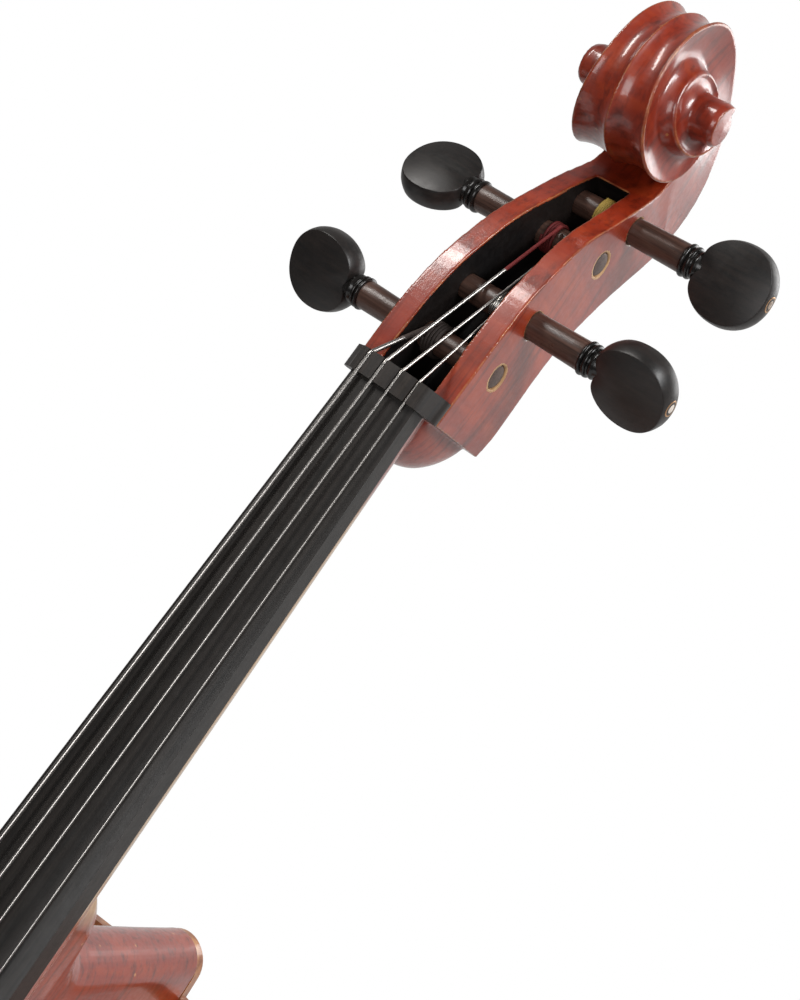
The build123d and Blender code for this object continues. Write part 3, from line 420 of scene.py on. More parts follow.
def spruce_mat(name, varnish=True):
    m = Mat(name)
    warp = m.noise(m.map((1.2, 1.2, 0.6), src=m.co), 3.0, 2.0)
    x = m.math("ADD", m.axis(m.co, 0), m.math("MULTIPLY", warp, 0.006))
    comb = m.node("ShaderNodeCombineXYZ")
    m.link(x, comb.inputs[0])
    wv = m.node("ShaderNodeTexWave", wave_type="BANDS", bands_direction="X", wave_profile="SAW")
    wv.inputs["Scale"].default_value = 165.0
    wv.inputs["Distortion"].default_value = 0.0
    m.link(comb.outputs[0], wv.inputs["Vector"])
    fib = m.noise(m.map((900, 900, 16), src=m.co), 1.0, 6.0, 0.6)
    if varnish:
        late, early = (0.17, 0.042, 0.014), (0.40, 0.135, 0.042)
    else:
        late, early = (0.42, 0.26, 0.12), (0.66, 0.48, 0.28)
    c = m.ramp(wv.outputs["Fac"], [(0.0, early), (0.70, early), (0.94, late), (1.0, early)])
    c = m.mix(m.ramp(fib, [(0.35, 0.45), (0.6, 0.0)]), c, tuple(v * 0.6 for v in late))
    if varnish:
        c = m.mix(m.ramp(m.noise(m.co, 6.0, 3.0), [(0.35, 0.0), (0.7, 0.45)]), c, (0.26, 0.07, 0.022))
        n = m.bump(m.math("ADD", wv.outputs["Fac"], fib), 0.12, 0.00025)
        m.set(color=c, rough=0.42, coat=0.85, coat_rough=m.ramp(m.noise(m.co, 140.0, 4.0), [(0.3, 0.08), (0.7, 0.18)]), normal=n, coat_normal=m.bump(m.noise(m.co, 70.0, 3.0), 0.12, 0.001))
    else:
        m.set(color=c, rough=m.ramp(fib, [(0.3, 0.6), (0.7, 0.8)]), normal=m.bump(fib, 0.2, 0.0003))
    return m.m


def plain_wood(name, a, b, rough=(0.5, 0.7), neck=False, scale=(300, 300, 16)):
    m = Mat(name)
    base = m.neck if neck else m.co
    g = m.noise(m.map(scale, src=base), 1.0, 6.0, 0.6, 0.2)
    fleck = m.noise(m.map((700, 700, 120), src=base), 1.0, 3.0)
    c = m.ramp(g, [(0.32, a), (0.62, b)])
    c = m.mix(m.ramp(fleck, [(0.58, 0.0), (0.70, 0.5)]), c, tuple(v * 0.6 for v in a))
    m.set(color=c, rough=m.ramp(g, [(0.3, rough[0]), (0.7, rough[1])]), normal=m.bump(m.math("ADD", g, fleck), 0.15, 0.0002))
    return m.m


def shell_mat(name, a, b):
    m = Mat(name)
    n = m.noise(m.co, 700.0, 3.0, 0.5, 1.5)
    m.set(color=m.ramp(n, [(0.3, a), (0.7, b)]), rough=m.ramp(n, [(0.3, 0.18), (0.7, 0.30)]), coat=0.5, coat_rough=0.08, normal=m.bump(n, 0.05, 0.0001))
    return m.m


M_SPRUCE = spruce_mat("varnish_spruce")
M_SPRUCE_RAW = spruce_mat("spruce_bare", False)
M_MAPLE_RAW = plain_wood("willow_bare", (0.42, 0.27, 0.13), (0.62, 0.44, 0.25))
M_PURF = plain_wood("purfling_strip", (0.025, 0.016, 0.012), (0.05, 0.032, 0.022), (0.4, 0.5))
M_BRIDGE = plain_wood("bridge_maple", (0.44, 0.28, 0.14), (0.66, 0.47, 0.26), (0.42, 0.58), scale=(500, 500, 60))
M_FB = ebony("ebony_board", (0.0125, 0.012, 0.0115), (0.026, 0.0215, 0.019), rough=(0.33, 0.46), marks=0.22)
M_NUT = ebony("ebony_nut", (0.014, 0.012, 0.011), (0.03, 0.023, 0.019), rough=(0.36, 0.5), marks=0.3)
M_TAIL = ebony("ebony_tail", neck=False, rough=(0.28, 0.42))
M_PEGHEAD = ebony("ebony_peghead", (0.0085, 0.008, 0.0078), (0.021, 0.016, 0.014), grain=(60, 500, 500), rough=(0.34, 0.46), marks=0.14, amount=0.25)
M_SHAFT = ebony("ebony_shaft", (0.026, 0.013, 0.010), (0.105, 0.055, 0.040), grain=(26, 900, 900), rough=(0.26, 0.40), marks=0.35, amount=0.6)
M_RING = ebony("ebony_ring", (0.006, 0.0055, 0.005), (0.012, 0.010, 0.009), grain=(300, 300, 300), rough=(0.20, 0.30), marks=0.08)
M_BRASS = metal("brass_ring", (0.62, 0.36, 0.19), (0.22, 0.34))
M_PEARL = shell_mat("pearl_dot", (0.62, 0.50, 0.40), (0.88, 0.80, 0.72))
M_PEARL2 = shell_mat("shell_dot", (0.20, 0.13, 0.09), (0.42, 0.31, 0.22))
M_WIRE = metal("string_wire", (0.80, 0.77, 0.73), (0.20, 0.32), bands=1400.0)
M_STEEL = metal("steel_bright", (0.66, 0.66, 0.67), (0.16, 0.30), axis_neck=False)
M_BLACKSTEEL = metal("steel_dark", (0.10, 0.10, 0.105), (0.28, 0.42), axis_neck=False)
M_CABLE = metal("steel_cable", (0.42, 0.42, 0.43), (0.30, 0.45), bands=500.0, axis_neck=False)
M_SILKRED = cloth_thread("silk_red", (0.16, 0.012, 0.012))
M_SILKGOLD = cloth_thread("silk_gold", (0.55, 0.38, 0.08))
M_SILKDARK = cloth_thread("silk_dark", (0.05, 0.035, 0.03))
M_COILWIRE = metal("coil_wire", (0.78, 0.76, 0.72), (0.18, 0.30))


def black_paint():
    m = Mat("pegbox_black")
    n = m.noise(m.neck, 420.0, 4.0, 0.6)
    c = m.ramp(m.noise(m.neck, 45.0, 3.0), [(0.35, (0.006, 0.005, 0.005)), (0.7, (0.016, 0.010, 0.008))])
    m.set(color=c, rough=m.ramp(n, [(0.3, 0.42), (0.7, 0.62)]), normal=m.bump(n, 0.25, 0.0003), spec=0.4)
    return m.m


M_BLACK = black_paint()


def string_material(name, silk, w_from):
    """Wound metal that changes to a silk wrapping past w_from (mm along the neck)."""
    m = Mat(name)
    base = m.neck
    wv = m.node("ShaderNodeTexWave", wave_type="BANDS", bands_direction="Z", wave_profile="SIN")
    wv.inputs["Scale"].default_value = 1400.0
    m.link(base, wv.inputs["Vector"])
    n = m.noise(base, 900.0, 4.0, 0.6)
    wire = m.mix(m.ramp(n, [(0.35, 0.0), (0.75, 0.4)]), (0.56, 0.53, 0.50), (0.42, 0.39, 0.37))
    z = m.axis(base, 2)
    k = m.range(z, 1.17744 + w_from / 1000.0 - 0.0003, 1.17744 + w_from / 1000.0 + 0.0003)
    c = m.mix(k, wire, silk)
    m.set(color=c, metal=m.math("SUBTRACT", 1.0, k), rough=m.math("ADD", m.ramp(n, [(0.3, 0.26), (0.7, 0.36)]), m.math("MULTIPLY", k, 0.4)),
          normal=m.bump(m.math("ADD", wv.outputs["Fac"], m.math("MULTIPLY", n, 0.3)), 0.10, 0.00008))
    return m.m


# ------------------------------------------------------------------ neck, pegbox and scroll
EYE_W, EYE_N = 155.4, -37.2
TH0, THS = -120.0, 240.0
R_EDGE = [(-125, 65.6), (-120, 64.8), (-108, 63.0), (-95, 59.7), (-81, 53.4), (-63, 46.2), (-38, 39.2), (-11, 36.9), (0, 36.5), (45, 32.3), (90, 29.7), (135, 29.5),
          (180, 28.3), (225, 25.5), (257, 22.5), (270, 21.5), (315, 19.0), (360, 17.0), (405, 16.0), (450, 15.3), (495, 14.8), (540, 14.4), (585, 14.0), (630, 13.2),
          (675, 12.0), (720, 10.5), (765, 9.2), (810, 8.4), (900, 7.4), (1080, 6.9)]
R_RIDGE = [(-125, 66.2), (-120, 65.2), (-95, 59.6), (-63, 45.6), (-38, 39.0), (-11, 36.9), (0, 36.4), (13, 34.9), (27, 33.4), (42, 32.3), (53, 31.6), (64, 31.1), (75, 30.7),
           (98, 30.7), (120, 31.0), (141, 31.1), (153, 30.6), (170, 29.4), (184, 28.8), (215, 26.6), (240, 24.3)]
X_EDGE = [(-125, 16.6), (-108, 14.8), (-90, 13.6), (-45, 12.4), (0, 12.0), (45, 12.0), (90, 13.0), (135, 16.0), (180, 19.0), (225, 21.3), (270, 21.0), (315, 19.0), (360, 17.0),
          (405, 16.4), (450, 17.2), (495, 20.0), (540, 23.8), (585, 26.3), (630, 28.0), (675, 29.0), (720, 29.8), (810, 30.8), (900, 31.4), (1080, 31.8)]
X_BASE = [(240, 16.4), (270, 15.2), (315, 12.0), (360, 9.5), (405, 9.5), (450, 11.0), (495, 13.5), (540, 17.0), (585, 19.5), (630, 20.0), (675, 18.5), (720, 18.0),
          (765, 19.0), (810, 20.5), (855, 21.5), (900, 22.5), (945, 23.5), (990, 25.0), (1035, 27.0), (1080, 29.0)]
R_FLARE = [(240, 0.0), (300, 1.0), (360, 3.0), (405, 3.2), (450, 3.0), (495, 2.5), (540, 1.6), (630, 0.8), (720, 0.3), (1080, 0.3)]


def polar(r, th):
    a = np.radians(th)
    return EYE_W + r * np.cos(a), EYE_N + r * np.sin(a)


def chamfer_at(th):
    r2 = float(table(R_EDGE, th + 360)) if th <= 720 else 0.0
    return min(0.9, 0.22 * (float(table(R_EDGE, th)) - r2))


def wall_rows(th):
    """(x, w, n) of the outer wall at this angle, from the middle (or the foot) to the edge."""
    re, xe = float(table(R_EDGE, th)), float(table(X_EDGE, th))
    ch = chamfer_at(th)
    xt = xe - ch
    if th <= THS:
        rr = float(table(R_RIDGE, th))
        xm = 0.78 * xt * (1 - float(ease((th - 180) / 60))) + 16.4 * float(ease((th - 180) / 60)) if th > 180 else 0.78 * xt
        if th == THS:
            xm = 16.4
        xs = np.concatenate([np.linspace(0, xm, 8), np.linspace(xm, xt, 7)[1:]])
        u = xs / xt
        a = rr + (re - rr) * u - 2.1 * np.sin(np.pi * u ** 0.95) ** 0.85
        b = re - 0.4 * np.sin(np.pi * np.clip((xs - 16.4) / (xt - 16.4 + 1e-9), 0, 1)) if xt > 17 else np.full_like(xs, re)
        k = float(ease((th - 195) / 45.0))
        r = a * (1 - k) + b * k
    else:
        xb = float(table(X_BASE, th))
        xs = np.linspace(xb, max(xt, xb + 0.02), 7)
        q = np.linspace(0, 1, 7)
        r = re + float(table(R_FLARE, th)) * (1 - q) ** 1.3 - 0.3 * np.sin(np.pi * q)
    w, n = polar(r, th)
    return np.stack([xs, w, n], 1)


def face_rows(th):
    re, xe = float(table(R_EDGE, th)), float(table(X_EDGE, th))
    r2, xb = float(table(R_EDGE, th + 360)), float(table(X_BASE, th + 360))
    if th + 360 > 240:
        r2 += float(table(R_FLARE, th + 360))
    ch = chamfer_at(th)
    v = np.linspace(0, 1, 10)
    dip = 0.25 + 1.25 * float(ease((th + 30) / 120.0))
    dip = min(dip, 0.16 * (re - r2))
    x = xe + (xb - xe) * v - dip * np.sin(np.pi * v) ** 0.8
    w, n = polar((re - ch) + (r2 - re + ch) * v, th)
    return np.stack([x, w, n], 1)


def scroll_and_pegbox():
    ths = np.arange(TH0, 1080.1, 5.0)
    verts, faces = [], []

    def add(rows):
        k = len(verts)
        verts.extend(rows.tolist())
        return list(range(k, k + len(rows)))

    def strips(a, b):
        for i in range(len(a) - 1):
            faces.append((a[i], a[i + 1], b[i + 1], b[i]))

    for sgn in (1, -1):
        mir = np.array([sgn, 1, 1])
        prev_w = prev_f = None
        for th in ths:
            th = float(th)
            wr = wall_rows(th) * mir
            wi = add(wr)
            if prev_w is not None:
                if len(prev_w) == len(wi):
                    strips(prev_w, wi)
                else:
                    strips(prev_w, wi)
            prev_w = wi
            if th == THS:
                wi = add((wall_rows(THS)[7:] if True else wr) * mir)
                prev_w = wi
            if th <= 720:
                fi = add(face_rows(th) * mir)
                if prev_f is not None:
                    strips(prev_f, fi)
                    faces.append((prev_last, wi[-1], fi[0], prev_f[0]))
                prev_f, prev_last = fi, wi[-1]
            else:
                # round end of the eye
                re, ch = float(table(R_EDGE, th)), 0.9
                w, n = polar(re - ch, th)
                ci = add(np.array([[sgn * 32.0, w, n]]))
                cc = add(np.array([[sgn * 32.35, EYE_W, EYE_N]]))
                if th > 725:
                    faces.append((prev_top, wi[-1], ci[0], prev_c))
                    faces.append((prev_c, ci[0], cc[0]))
                else:
                    faces.append((prev_last, wi[-1], ci[0], prev_f[0]))
                    faces.append((prev_f[0], ci[0], cc[0]))
                prev_c, prev_top = ci[0], wi[-1]
                last = (ci[0], wi[-1], cc[0], wi[0])
        # close the little step where the eye meets its own turn
        k720 = prev_f
        faces.append((last[1], last[0], last[2], k720[0]))
        faces.append((last[3], last[1], k720[0]))
        faces.append(tuple([last[3]] + [last[3]] * 0 + k720[::-1][1:]))

    # pegbox: stations from the nut to the line where the volute leaves the head
    def station(F, B, hf, hb, fd, ch=0.9):
        F, B = np.array(F, float), np.array(B, float)
        d = (B - F) / np.linalg.norm(B - F)
        xt = hb - ch
        xs = np.concatenate([np.linspace(0, 0.78 * xt, 8), np.linspace(0.78 * xt, xt, 7)[1:]])
        u = xs / xt
        back = B[None, :] - d[None, :] * (fd * np.sin(np.pi * u ** 0.95) ** 0.85)[:, None]
        rows = [np.column_stack([xs, back])]
        v = np.linspace(0, 1, 10)
        s0 = B - d * ch
        rows.append(np.column_stack([hb + (hf - hb) * v, s0[0] + (F[0] - s0[0]) * v, s0[1] + (F[1] - s0[1]) * v]))
        xf = np.linspace(hf, 0, 8)[1:]
        rows.append(np.column_stack([xf, np.full(7, F[0]), np.full(7, F[1])]))
        return full(np.concatenate(rows))

    def full(half):
        m = half[1:-1][::-1].copy()
        m[:, 0] *= -1
        return np.concatenate([half, m])

    cap = full(np.concatenate([wall_rows(TH0), face_rows(TH0), wall_rows(THS)[:7][::-1]]))
    st = [station((0.3, -10.0), (3.0, -59.0), 22.4, 20.6, 0.0, 3.0),
          station((12, -10.0), (12, -58.4), 22.4, 21.6, 0.3, 2.4),
          station((24, -10.1), (23, -57.2), 22.4, 21.8, 0.9, 1.6),
          station((40, -11.0), (38, -57.0), 22.0, 21.4, 1.5, 1.2),
          station((56, -13.4), (53, -59.4), 21.1, 20.4, 1.9, 1.0),
          station((70, -18.3), (66, -63.8), 20.4, 19.5, 2.1),
          station((82, -23.4), (77, -69.0), 19.6, 18.7, 2.1),
          station((93, -29.9), (87, -74.2), 18.8, 18.0, 2.1),
          station((104, -38.4), (96, -79.4), 18.7, 17.5, 2.1),
          station((114, -45.9), (105, -84.4), 18.4, 17.2, 2.1),
          station((122.5, -52.8), (112, -88.4), 17.6, 16.8, 2.1),
          station((130, -58.2), (117, -91.0), 16.7, 16.5, 2.1),
          station((137, -60.2), (120.5, -92.6), 16.4, 16.4, 2.1)]
    rings = catmull(st, 4) + [cap]
    v2, f2 = loft(rings, cap1=False)
    k = len(verts)
    allv = np.concatenate([np.array(verts), v2])
    faces.extend([tuple(i + k for i in f) for f in f2])
    ob = raw_object("head_raw", nf(allv), faces, merge=2e-5)
    bm = bmesh.new()
    bm.from_mesh(ob.data)
    open_edges = [e for e in bm.edges if e.is_boundary]
    if open_edges:
        bmesh.ops.holes_fill(bm, edges=open_edges, sides=0)
    bmesh.ops.recalc_face_normals(bm, faces=bm.faces)
    bm.to_mesh(ob.data)
    bm.free()
    return ob


TROUGH_HW = [(10.2, 13.4), (34, 12.8), (53, 12.0), (70, 11.2), (92, 9.9), (112, 9.0), (124, 8.2)]
TROUGH_FLOOR = [(10.2, -46.0), (34, -46.5), (54, -49.0), (70, -55.0), (90, -65.0), (104, -73.0), (112, -74.5), (124, -66.0)]
FRONT_N = [(0, -10.0), (33, -10.2), (52, -12.5), (68, -17.5), (80, -22.3), (92, -29.2), (105, -39.3), (111, -43.3), (122, -52.3), (131, -58.6)]


def trough():
    rings = []
    for w in np.concatenate([[10.2], np.linspace(14, 118, 27), [120, 121.5, 122.6]]):
        hw = float(table(TROUGH_HW, w))
        fl = float(table(TROUGH_FLOOR, w)) + (7.0 * max(0.0, (w - 118) / 4.6) ** 2)
        top = 12.0
        c = 3.2
        ring = [(-hw, w, top), (hw, w, top), (hw, w, fl + c), (hw - 0.3 * c, w, fl + 0.3 * c), (hw - c, w, fl), (-hw + c, w, fl), (-hw + 0.3 * c, w, fl + 0.3 * c), (-hw, w, fl + c)]
        rings.append(np.array(ring, float))
    v, f = loft(rings)
    return raw_object("trough", nf(v), f)


PEGS = {"c": dict(w=29.4, n=-27.2, side=-1, hw=22.4, collar=45.6, rings=50.0, turn=35.0),
        "a": dict(w=53.5, n=-28.7, side=1, hw=21.4, collar=45.2, rings=50.7, turn=52.0),
        "g": dict(w=91.3, n=-49.4, side=-1, hw=18.9, collar=42.2, rings=49.4, turn=-28.0),
        "d": dict(w=111.6, n=-57.3, side=1, hw=18.3, collar=42.2, rings=48.2, turn=18.0)}


def peg_r(side_x, col):
    return 6.0 - 1.05 * (col - side_x) / (col + 22.0)


def hole(key):
    p = PEGS[key]
    rings = []
    for sx in (p["collar"] - 8.0, -p["hw"] - 6.0):
        r = peg_r(sx, p["collar"]) + 0.10
        a = np.linspace(0, 2 * np.pi, 48, endpoint=False)
        rings.append(np.column_stack([np.full(48, sx * p["side"]), p["w"] + r * np.cos(a), p["n"] + r * np.sin(a)]))
    v, f = loft(rings)
    return raw_object("hole", nf(v), f)


def chin():
    line = np.array([(9, -12), (0, -12), (-8, -12.8), (-12.2, -18), (-13.8, -26), (-14.4, -36), (-13.0, -44), (-10.0, -50.5), (-5.5, -55.5), (1, -58.0), (9, -58.2)], float)
    t = np.arange(len(line))
    tt = np.linspace(0, len(line) - 1, 44)
    prof = np.column_stack([np.interp(tt, t, line[:, 0]), np.interp(tt, t, line[:, 1])])
    for _ in range(3):
        prof[1:-1] = (prof[:-2] + 2 * prof[1:-1] + prof[2:]) / 4
    rings = []
    for x in np.linspace(-16.4, 16.4, 31):
        s = max(0.0, 1 - abs(x / 16.4) ** 2.3) ** (1 / 2.3)
        w = 9 + (prof[:, 0] - 9) * 1.20 * (0.02 + 0.98 * s)
        n = -34 + (prof[:, 1] + 34) * (0.72 + 0.28 * s)
        rings.append(np.column_stack([np.full(44, x), w, n]))
    v, f = loft(rings)
    return raw_object("chin", nf(v), f)


def shaft():
    st = ((8.0, 15.2, -10.0, -30.0), (-12.0, 15.6, -10.2, -29.4), (-30.0, 16.2, -10.4, -29.2), (-80, 17.6, -11.2, -31.0), (-130.0, 19.0, -11.9, -33.0), (-180, 20.2, -12.6, -35.0),
          (-225.0, 21.4, -13.2, -37.5), (-262.0, 22.2, -13.8, -41.5))
    rings = []
    for w, hw, nj, nb in st:
        a = np.linspace(0, np.pi, 33)
        x = hw * np.sign(np.cos(a)) * np.abs(np.cos(a)) ** 1.28
        n = nj - (nj - nb) * np.sin(a) ** 1.28
        xt = np.linspace(-hw, hw, 9)[1:-1]
        rings.append(np.concatenate([np.column_stack([x, np.full(33, w), n]), np.column_stack([xt, np.full(7, w), np.full(7, nj)])]))
    v, f = loft(catmull(rings, 4))
    return raw_object("shaft", nf(v), f)


def heel():
    rings = []
    for n, wf, hw in ((-13.6, -205, 19.8), (-30, -208, 18.2), (-36.5, -213.5, 17.4), (-39.6, -226, 17.3), (-43, -233, 17.2), (-47.5, -237.6, 17.1), (-54, -240.3, 16.9), (-62, -241, 16.7),
                      (-76, -241.1, 16.2), (-90, -241.2, 15.7), (-120, -241, 14.6), (-145, -240.5, 13.6), (-152.7, -240.2, 13.3)):
        a = np.linspace(-np.pi / 2, np.pi / 2, 25)
        x = hw * np.sin(a)
        w = wf - hw + hw * np.cos(a)
        last = n < -150

        def nn(w_):
            return (OY * 1000 + w_ * S10 - 59.0) / C10 if last else n

        def wb(n_):
            return (904.2 - OZ * 1000 - n_ * S10) / C10
        nb = nn(-270.0)
        ring = [(x[i], w[i], nn(w[i])) for i in range(25)]
        ring += [(hw, wb(nb), nb), (hw * 0.33, wb(nb), nb), (-hw * 0.33, wb(nb), nb), (-hw, wb(nb), nb)]
        rings.append(np.array(ring, float))
    v, f = loft(rings)
    return raw_object("heel", nf(v), f)


head = scroll_and_pegbox()
boolean(head, trough())
for key in "cagd":
    boolean(head, hole(key))
body_of_neck = joined("neck_wood", [head, chin(), shaft(), heel()])
voxel(body_of_neck, 0.0005, 1)

co, polys = mesh_arrays(body_of_neck)
me = body_of_neck.data
me.materials.clear()
rim_wood = plain_wood("peg_hole_rim", (0.38, 0.20, 0.085), (0.55, 0.33, 0.16), (0.5, 0.65), neck=True)
for m_ in (M_HEAD, M_BLACK, rim_wood):
    me.materials.append(m_)
cen = np.zeros(len(me.polygons) * 3)
me.polygons.foreach_get("center", cen)
cen = cen.reshape(-1, 3)
X = cen[:, 0] * 1000
Y = (cen[:, 1] - OY) * 1000
Z = (cen[:, 2] - OZ) * 1000
W = Y * S10 + Z * C10
Nn = -Y * C10 + Z * S10
inside = (W > 9.9) & (W < 123.4) & (np.abs(X) < table(TROUGH_HW, W) + 0.45) & (Nn < table(FRONT_N, W) - 0.9) & (Nn > table(TROUGH_FLOOR, W) - 1.5)
idx = np.zeros(len(me.polygons), np.int32)
idx[inside] = 1
for key, p in PEGS.items():
    rr = np.hypot(W - p["w"], Nn - p["n"])
    bore = (rr < 6.15) & (np.abs(X) > 14) & (np.abs(X) < p["hw"] - 0.15) & ~inside
    idx[bore] = 2
me.polygons.foreach_set("material_index", idx)
smooth(me, 0)
body_of_neck.name = "neck_and_scroll_wood"
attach(body_of_neck, "instrument")
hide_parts("neck_and_scroll")


# ------------------------------------------------------------------ pegs
def revolve(profile, key, seg=64):
    """profile: (distance from the middle plane towards the head, radius)."""
    p = PEGS[key]
    a = np.linspace(0, 2 * np.pi, seg, endpoint=False)
    rings = [np.column_stack([np.full(seg, sx * p["side"]), p["w"] + r * np.cos(a), p["n"] + r * np.sin(a)]) for sx, r in profile]
    v, f = loft(rings)
    return nf(v), f


def fine(profile, step=0.25):
    """Returns the profile unchanged."""
    return profile


def peg_frame(key):
    p = PEGS[key]
    t = math.radians(p["turn"])
    # u along the broad side of the head, t through its thickness, in (w, n)
    return (math.cos(t), math.sin(t)), (-math.sin(t), math.cos(t))


HEAD_A, HEAD_B, HEAD_T = 17.0, 16.7, 4.9


def head_outline(phi):
    c, s = math.cos(phi), math.sin(phi)
    e = 2.15
    k = (abs(c) ** e + abs(s) ** e) ** (-1 / e)
    a = HEAD_A * k * c
    b = HEAD_B * k * s * (1.0 + 0.035 * c)
    # the two shoulders come in to the stem
    d = math.exp(-((phi - math.pi) / 0.34) ** 2)
    a += 2.6 * d
    return a, b


def peg_head(key):
    p = PEGS[key]
    (uw, un), (tw, tn) = peg_frame(key)
    xc = p["collar"] + 22.0
    seg = 120
    rings = []
    rows = [(0.0, 1.0), (0.12, 1.0), (0.3, 1.0), (0.5, 1.0), (0.7, 1.0), (0.84, 1.0), (0.925, 1.0), (0.945, 0.985)]
    phis = np.linspace(0, 2 * math.pi, seg, endpoint=False)

    def dome(q):
        return HEAD_T * (1.0 + 0.36 * (1 - q * q))

    def ring(q, t):
        out = []
        for ph in phis:
            a, b = head_outline(ph)
            out.append((p["side"] * (xc + a * q), p["w"] + uw * b * q + tw * t, p["n"] + un * b * q + tn * t))
        return np.array(out)
    profile = [(q, dome(q / 0.94)) for q in (0.02, 0.15, 0.3, 0.45, 0.6, 0.72, 0.82, 0.89, 0.925, 0.94)]
    profile += [(0.946, HEAD_T * 0.975), (0.953, HEAD_T * 0.93), (0.966, HEAD_T * 0.78), (0.982, HEAD_T * 0.55), (0.994, HEAD_T * 0.28), (1.0, 0.0)]
    profile += [(q, -t) for q, t in profile[:-1][::-1]]
    rings = [ring(q, t) for q, t in profile]
    v, f = loft(rings)
    return nf(v), f


def rim_point(key, b, t, out=0.05):
    """A point on the rim of the head, opposite the stem."""
    p = PEGS[key]
    (uw, un), (tw, tn) = peg_frame(key)
    xc = p["collar"] + 22.0
    bulge = np.interp(abs(t) / HEAD_T, [0, 0.28, 0.55, 0.78, 0.93, 0.975], [1.0, 0.994, 0.982, 0.966, 0.953, 0.946])
    e = 2.15
    bb = min(abs(b) / (HEAD_B * 1.035 * bulge), 0.999)
    a = HEAD_A * bulge * (1 - bb ** e) ** (1 / e) + out
    return (p["side"] * (xc + a), p["w"] + uw * b + tw * t, p["n"] + un * b + tn * t)


def eye(key):
    seg = 48
    a = np.linspace(0, 2 * np.pi, seg, endpoint=False)

    def disc_ring(r, out):
        return np.array([rim_point(key, r * math.cos(q), r * math.sin(q), out) for q in a])
    brass = [disc_ring(3.30, -0.3), disc_ring(3.30, 0.05), disc_ring(3.15, 0.09), disc_ring(2.85, 0.09), disc_ring(2.72, 0.05), disc_ring(2.72, -0.3)]
    v1, f1 = loft(brass, cap0=False, cap1=False)
    dot = [disc_ring(1.75, -0.3), disc_ring(1.75, 0.04), disc_ring(1.5, 0.08), disc_ring(0.8, 0.10), disc_ring(0.1, 0.11)]
    v2, f2 = loft(dot)
    return (nf(v1), f1), (nf(v2), f2)


for key in "cgda":
    p = PEGS[key]
    col, hw = p["collar"], p["hw"]
    tip = -(hw - 0.8)
    prof = [(tip, peg_r(tip, col) - 0.9), (tip + 0.1, peg_r(tip, col) - 0.45), (tip + 0.45, peg_r(tip, col) - 0.1), (tip + 0.9, peg_r(tip, col))]
    prof += [(x, peg_r(x, col)) for x in np.linspace(tip + 4, col - 0.6, 14)] + [(col + 0.1, peg_r(col, col) - 0.15)]
    sv, sf = revolve(prof, key)
    L = p["rings"] - col
    beads = []
    nb = 2
    bw = L * 0.36
    for i in range(nb):
        c0 = col + 0.15 + bw * (i + 0.5) + i * 0.35
        for q in np.linspace(-1, 1, 9):
            beads.append((c0 + q * bw * 0.5, 5.75 + (1.15 if i == 0 else 0.95) * math.sqrt(max(0.0, 1 - q * q))))
    end = beads[-1][0]
    neck = [(end + 0.4, 5.55), (end + 0.9, 5.75), (end + 1.4, 6.1), (end + 1.9, 6.15), (end + 2.5, 5.8), (end + 3.4, 5.3), (end + 6.0, 4.9), (end + 9.0, 4.4)]
    rv, rf = revolve([(col, 5.2)] + beads + neck, key)
    hv, hf = peg_head(key)
    body = f"peg_{key}_turner"
    piece(f"peg_{key}_ebony", [(sv, sf, M_SHAFT), (rv, rf, M_RING), (hv, hf, M_PEGHEAD)], body, (f"peg_{key}",), sharp=30)
    (bv, bf), (dv, df) = eye(key)
    piece(f"peg_eye_{key}_inlay", [(bv, bf, M_BRASS), (dv, df, M_PEARL if key in "ac" else M_PEARL2)], body, (f"peg_eye_{key}",), sharp=50)

# ------------------------------------------------------------------ windings on the pegs
WIND = {"c": (-7.6, 7.6, 1.9, M_SILKDARK), "a": (6.5, 7.6, 1.0, M_COILWIRE), "g": (-4.8, 6.6, 1.5, M_SILKRED), "d": (3.9, 7.2, 1.25, M_SILKGOLD)}
STRING_D = {"c": 1.9, "g": 1.5, "d": 1.25, "a": 1.0}
for key in "cgda":
    p = PEGS[key]
    x0, ln, t, mat = WIND[key]
    turns = ln / t
    d = STRING_D[key] * 0.97
    pts = []
    steps = int(turns * 30)
    for i in range(steps + 1):
        f = i / steps
        x = x0 + p["side"] * (ln / 2 - t / 2) * (1 - 2 * f)
        r = peg_r(p["side"] * x, p["collar"]) + d / 2 - 0.04
        a = math.radians(112) + f * turns * 2 * math.pi
        pts.append((x, p["w"] + r * math.cos(a), p["n"] + r * math.sin(a)))
    v, f_ = sweep(nf(np.array(pts)), d / 2000.0, 12)
    piece(f"winding_{key}_coil", [(v, f_, mat)], f"peg_{key}_turner", (f"winding_{key}",), sharp=0)

# ------------------------------------------------------------------ materials of the CAD pieces
M_STR = {"c": string_material("string_c_wound", (0.05, 0.035, 0.03), 21.0), "g": string_material("string_g_wound", (0.17, 0.012, 0.012), 66.0),
         "d": string_material("string_d_wound", (0.55, 0.38, 0.08), 92.0), "a": string_material("string_a_wound", (0.7, 0.68, 0.65), 400.0)}
ASSIGN = {"top_plate": M_SPRUCE, "back_plate": M_BACK, "purfling_front": M_PURF, "purfling_back": M_PURF, "upper_block": M_SPRUCE_RAW, "lower_block": M_SPRUCE_RAW,
          "corner_blocks": M_SPRUCE_RAW, "linings_front": M_MAPLE_RAW, "linings_back": M_MAPLE_RAW, "bass_bar": M_SPRUCE_RAW, "sound_post": M_SPRUCE_RAW,
          "fingerboard": M_FB, "nut": M_NUT, "saddle": M_TAIL, "bridge": M_BRIDGE, "tailpiece": M_TAIL, "tail_fret": M_TAIL, "tuner_pins": M_STEEL,
          "tuner_bushings": M_STEEL, "tail_cord": M_CABLE, "endpin_plug": M_TAIL, "endpin_ferrule": M_BLACKSTEEL, "endpin_rod": M_STEEL, "endpin_spike": M_STEEL,
          "endpin_screw": M_BLACKSTEEL}
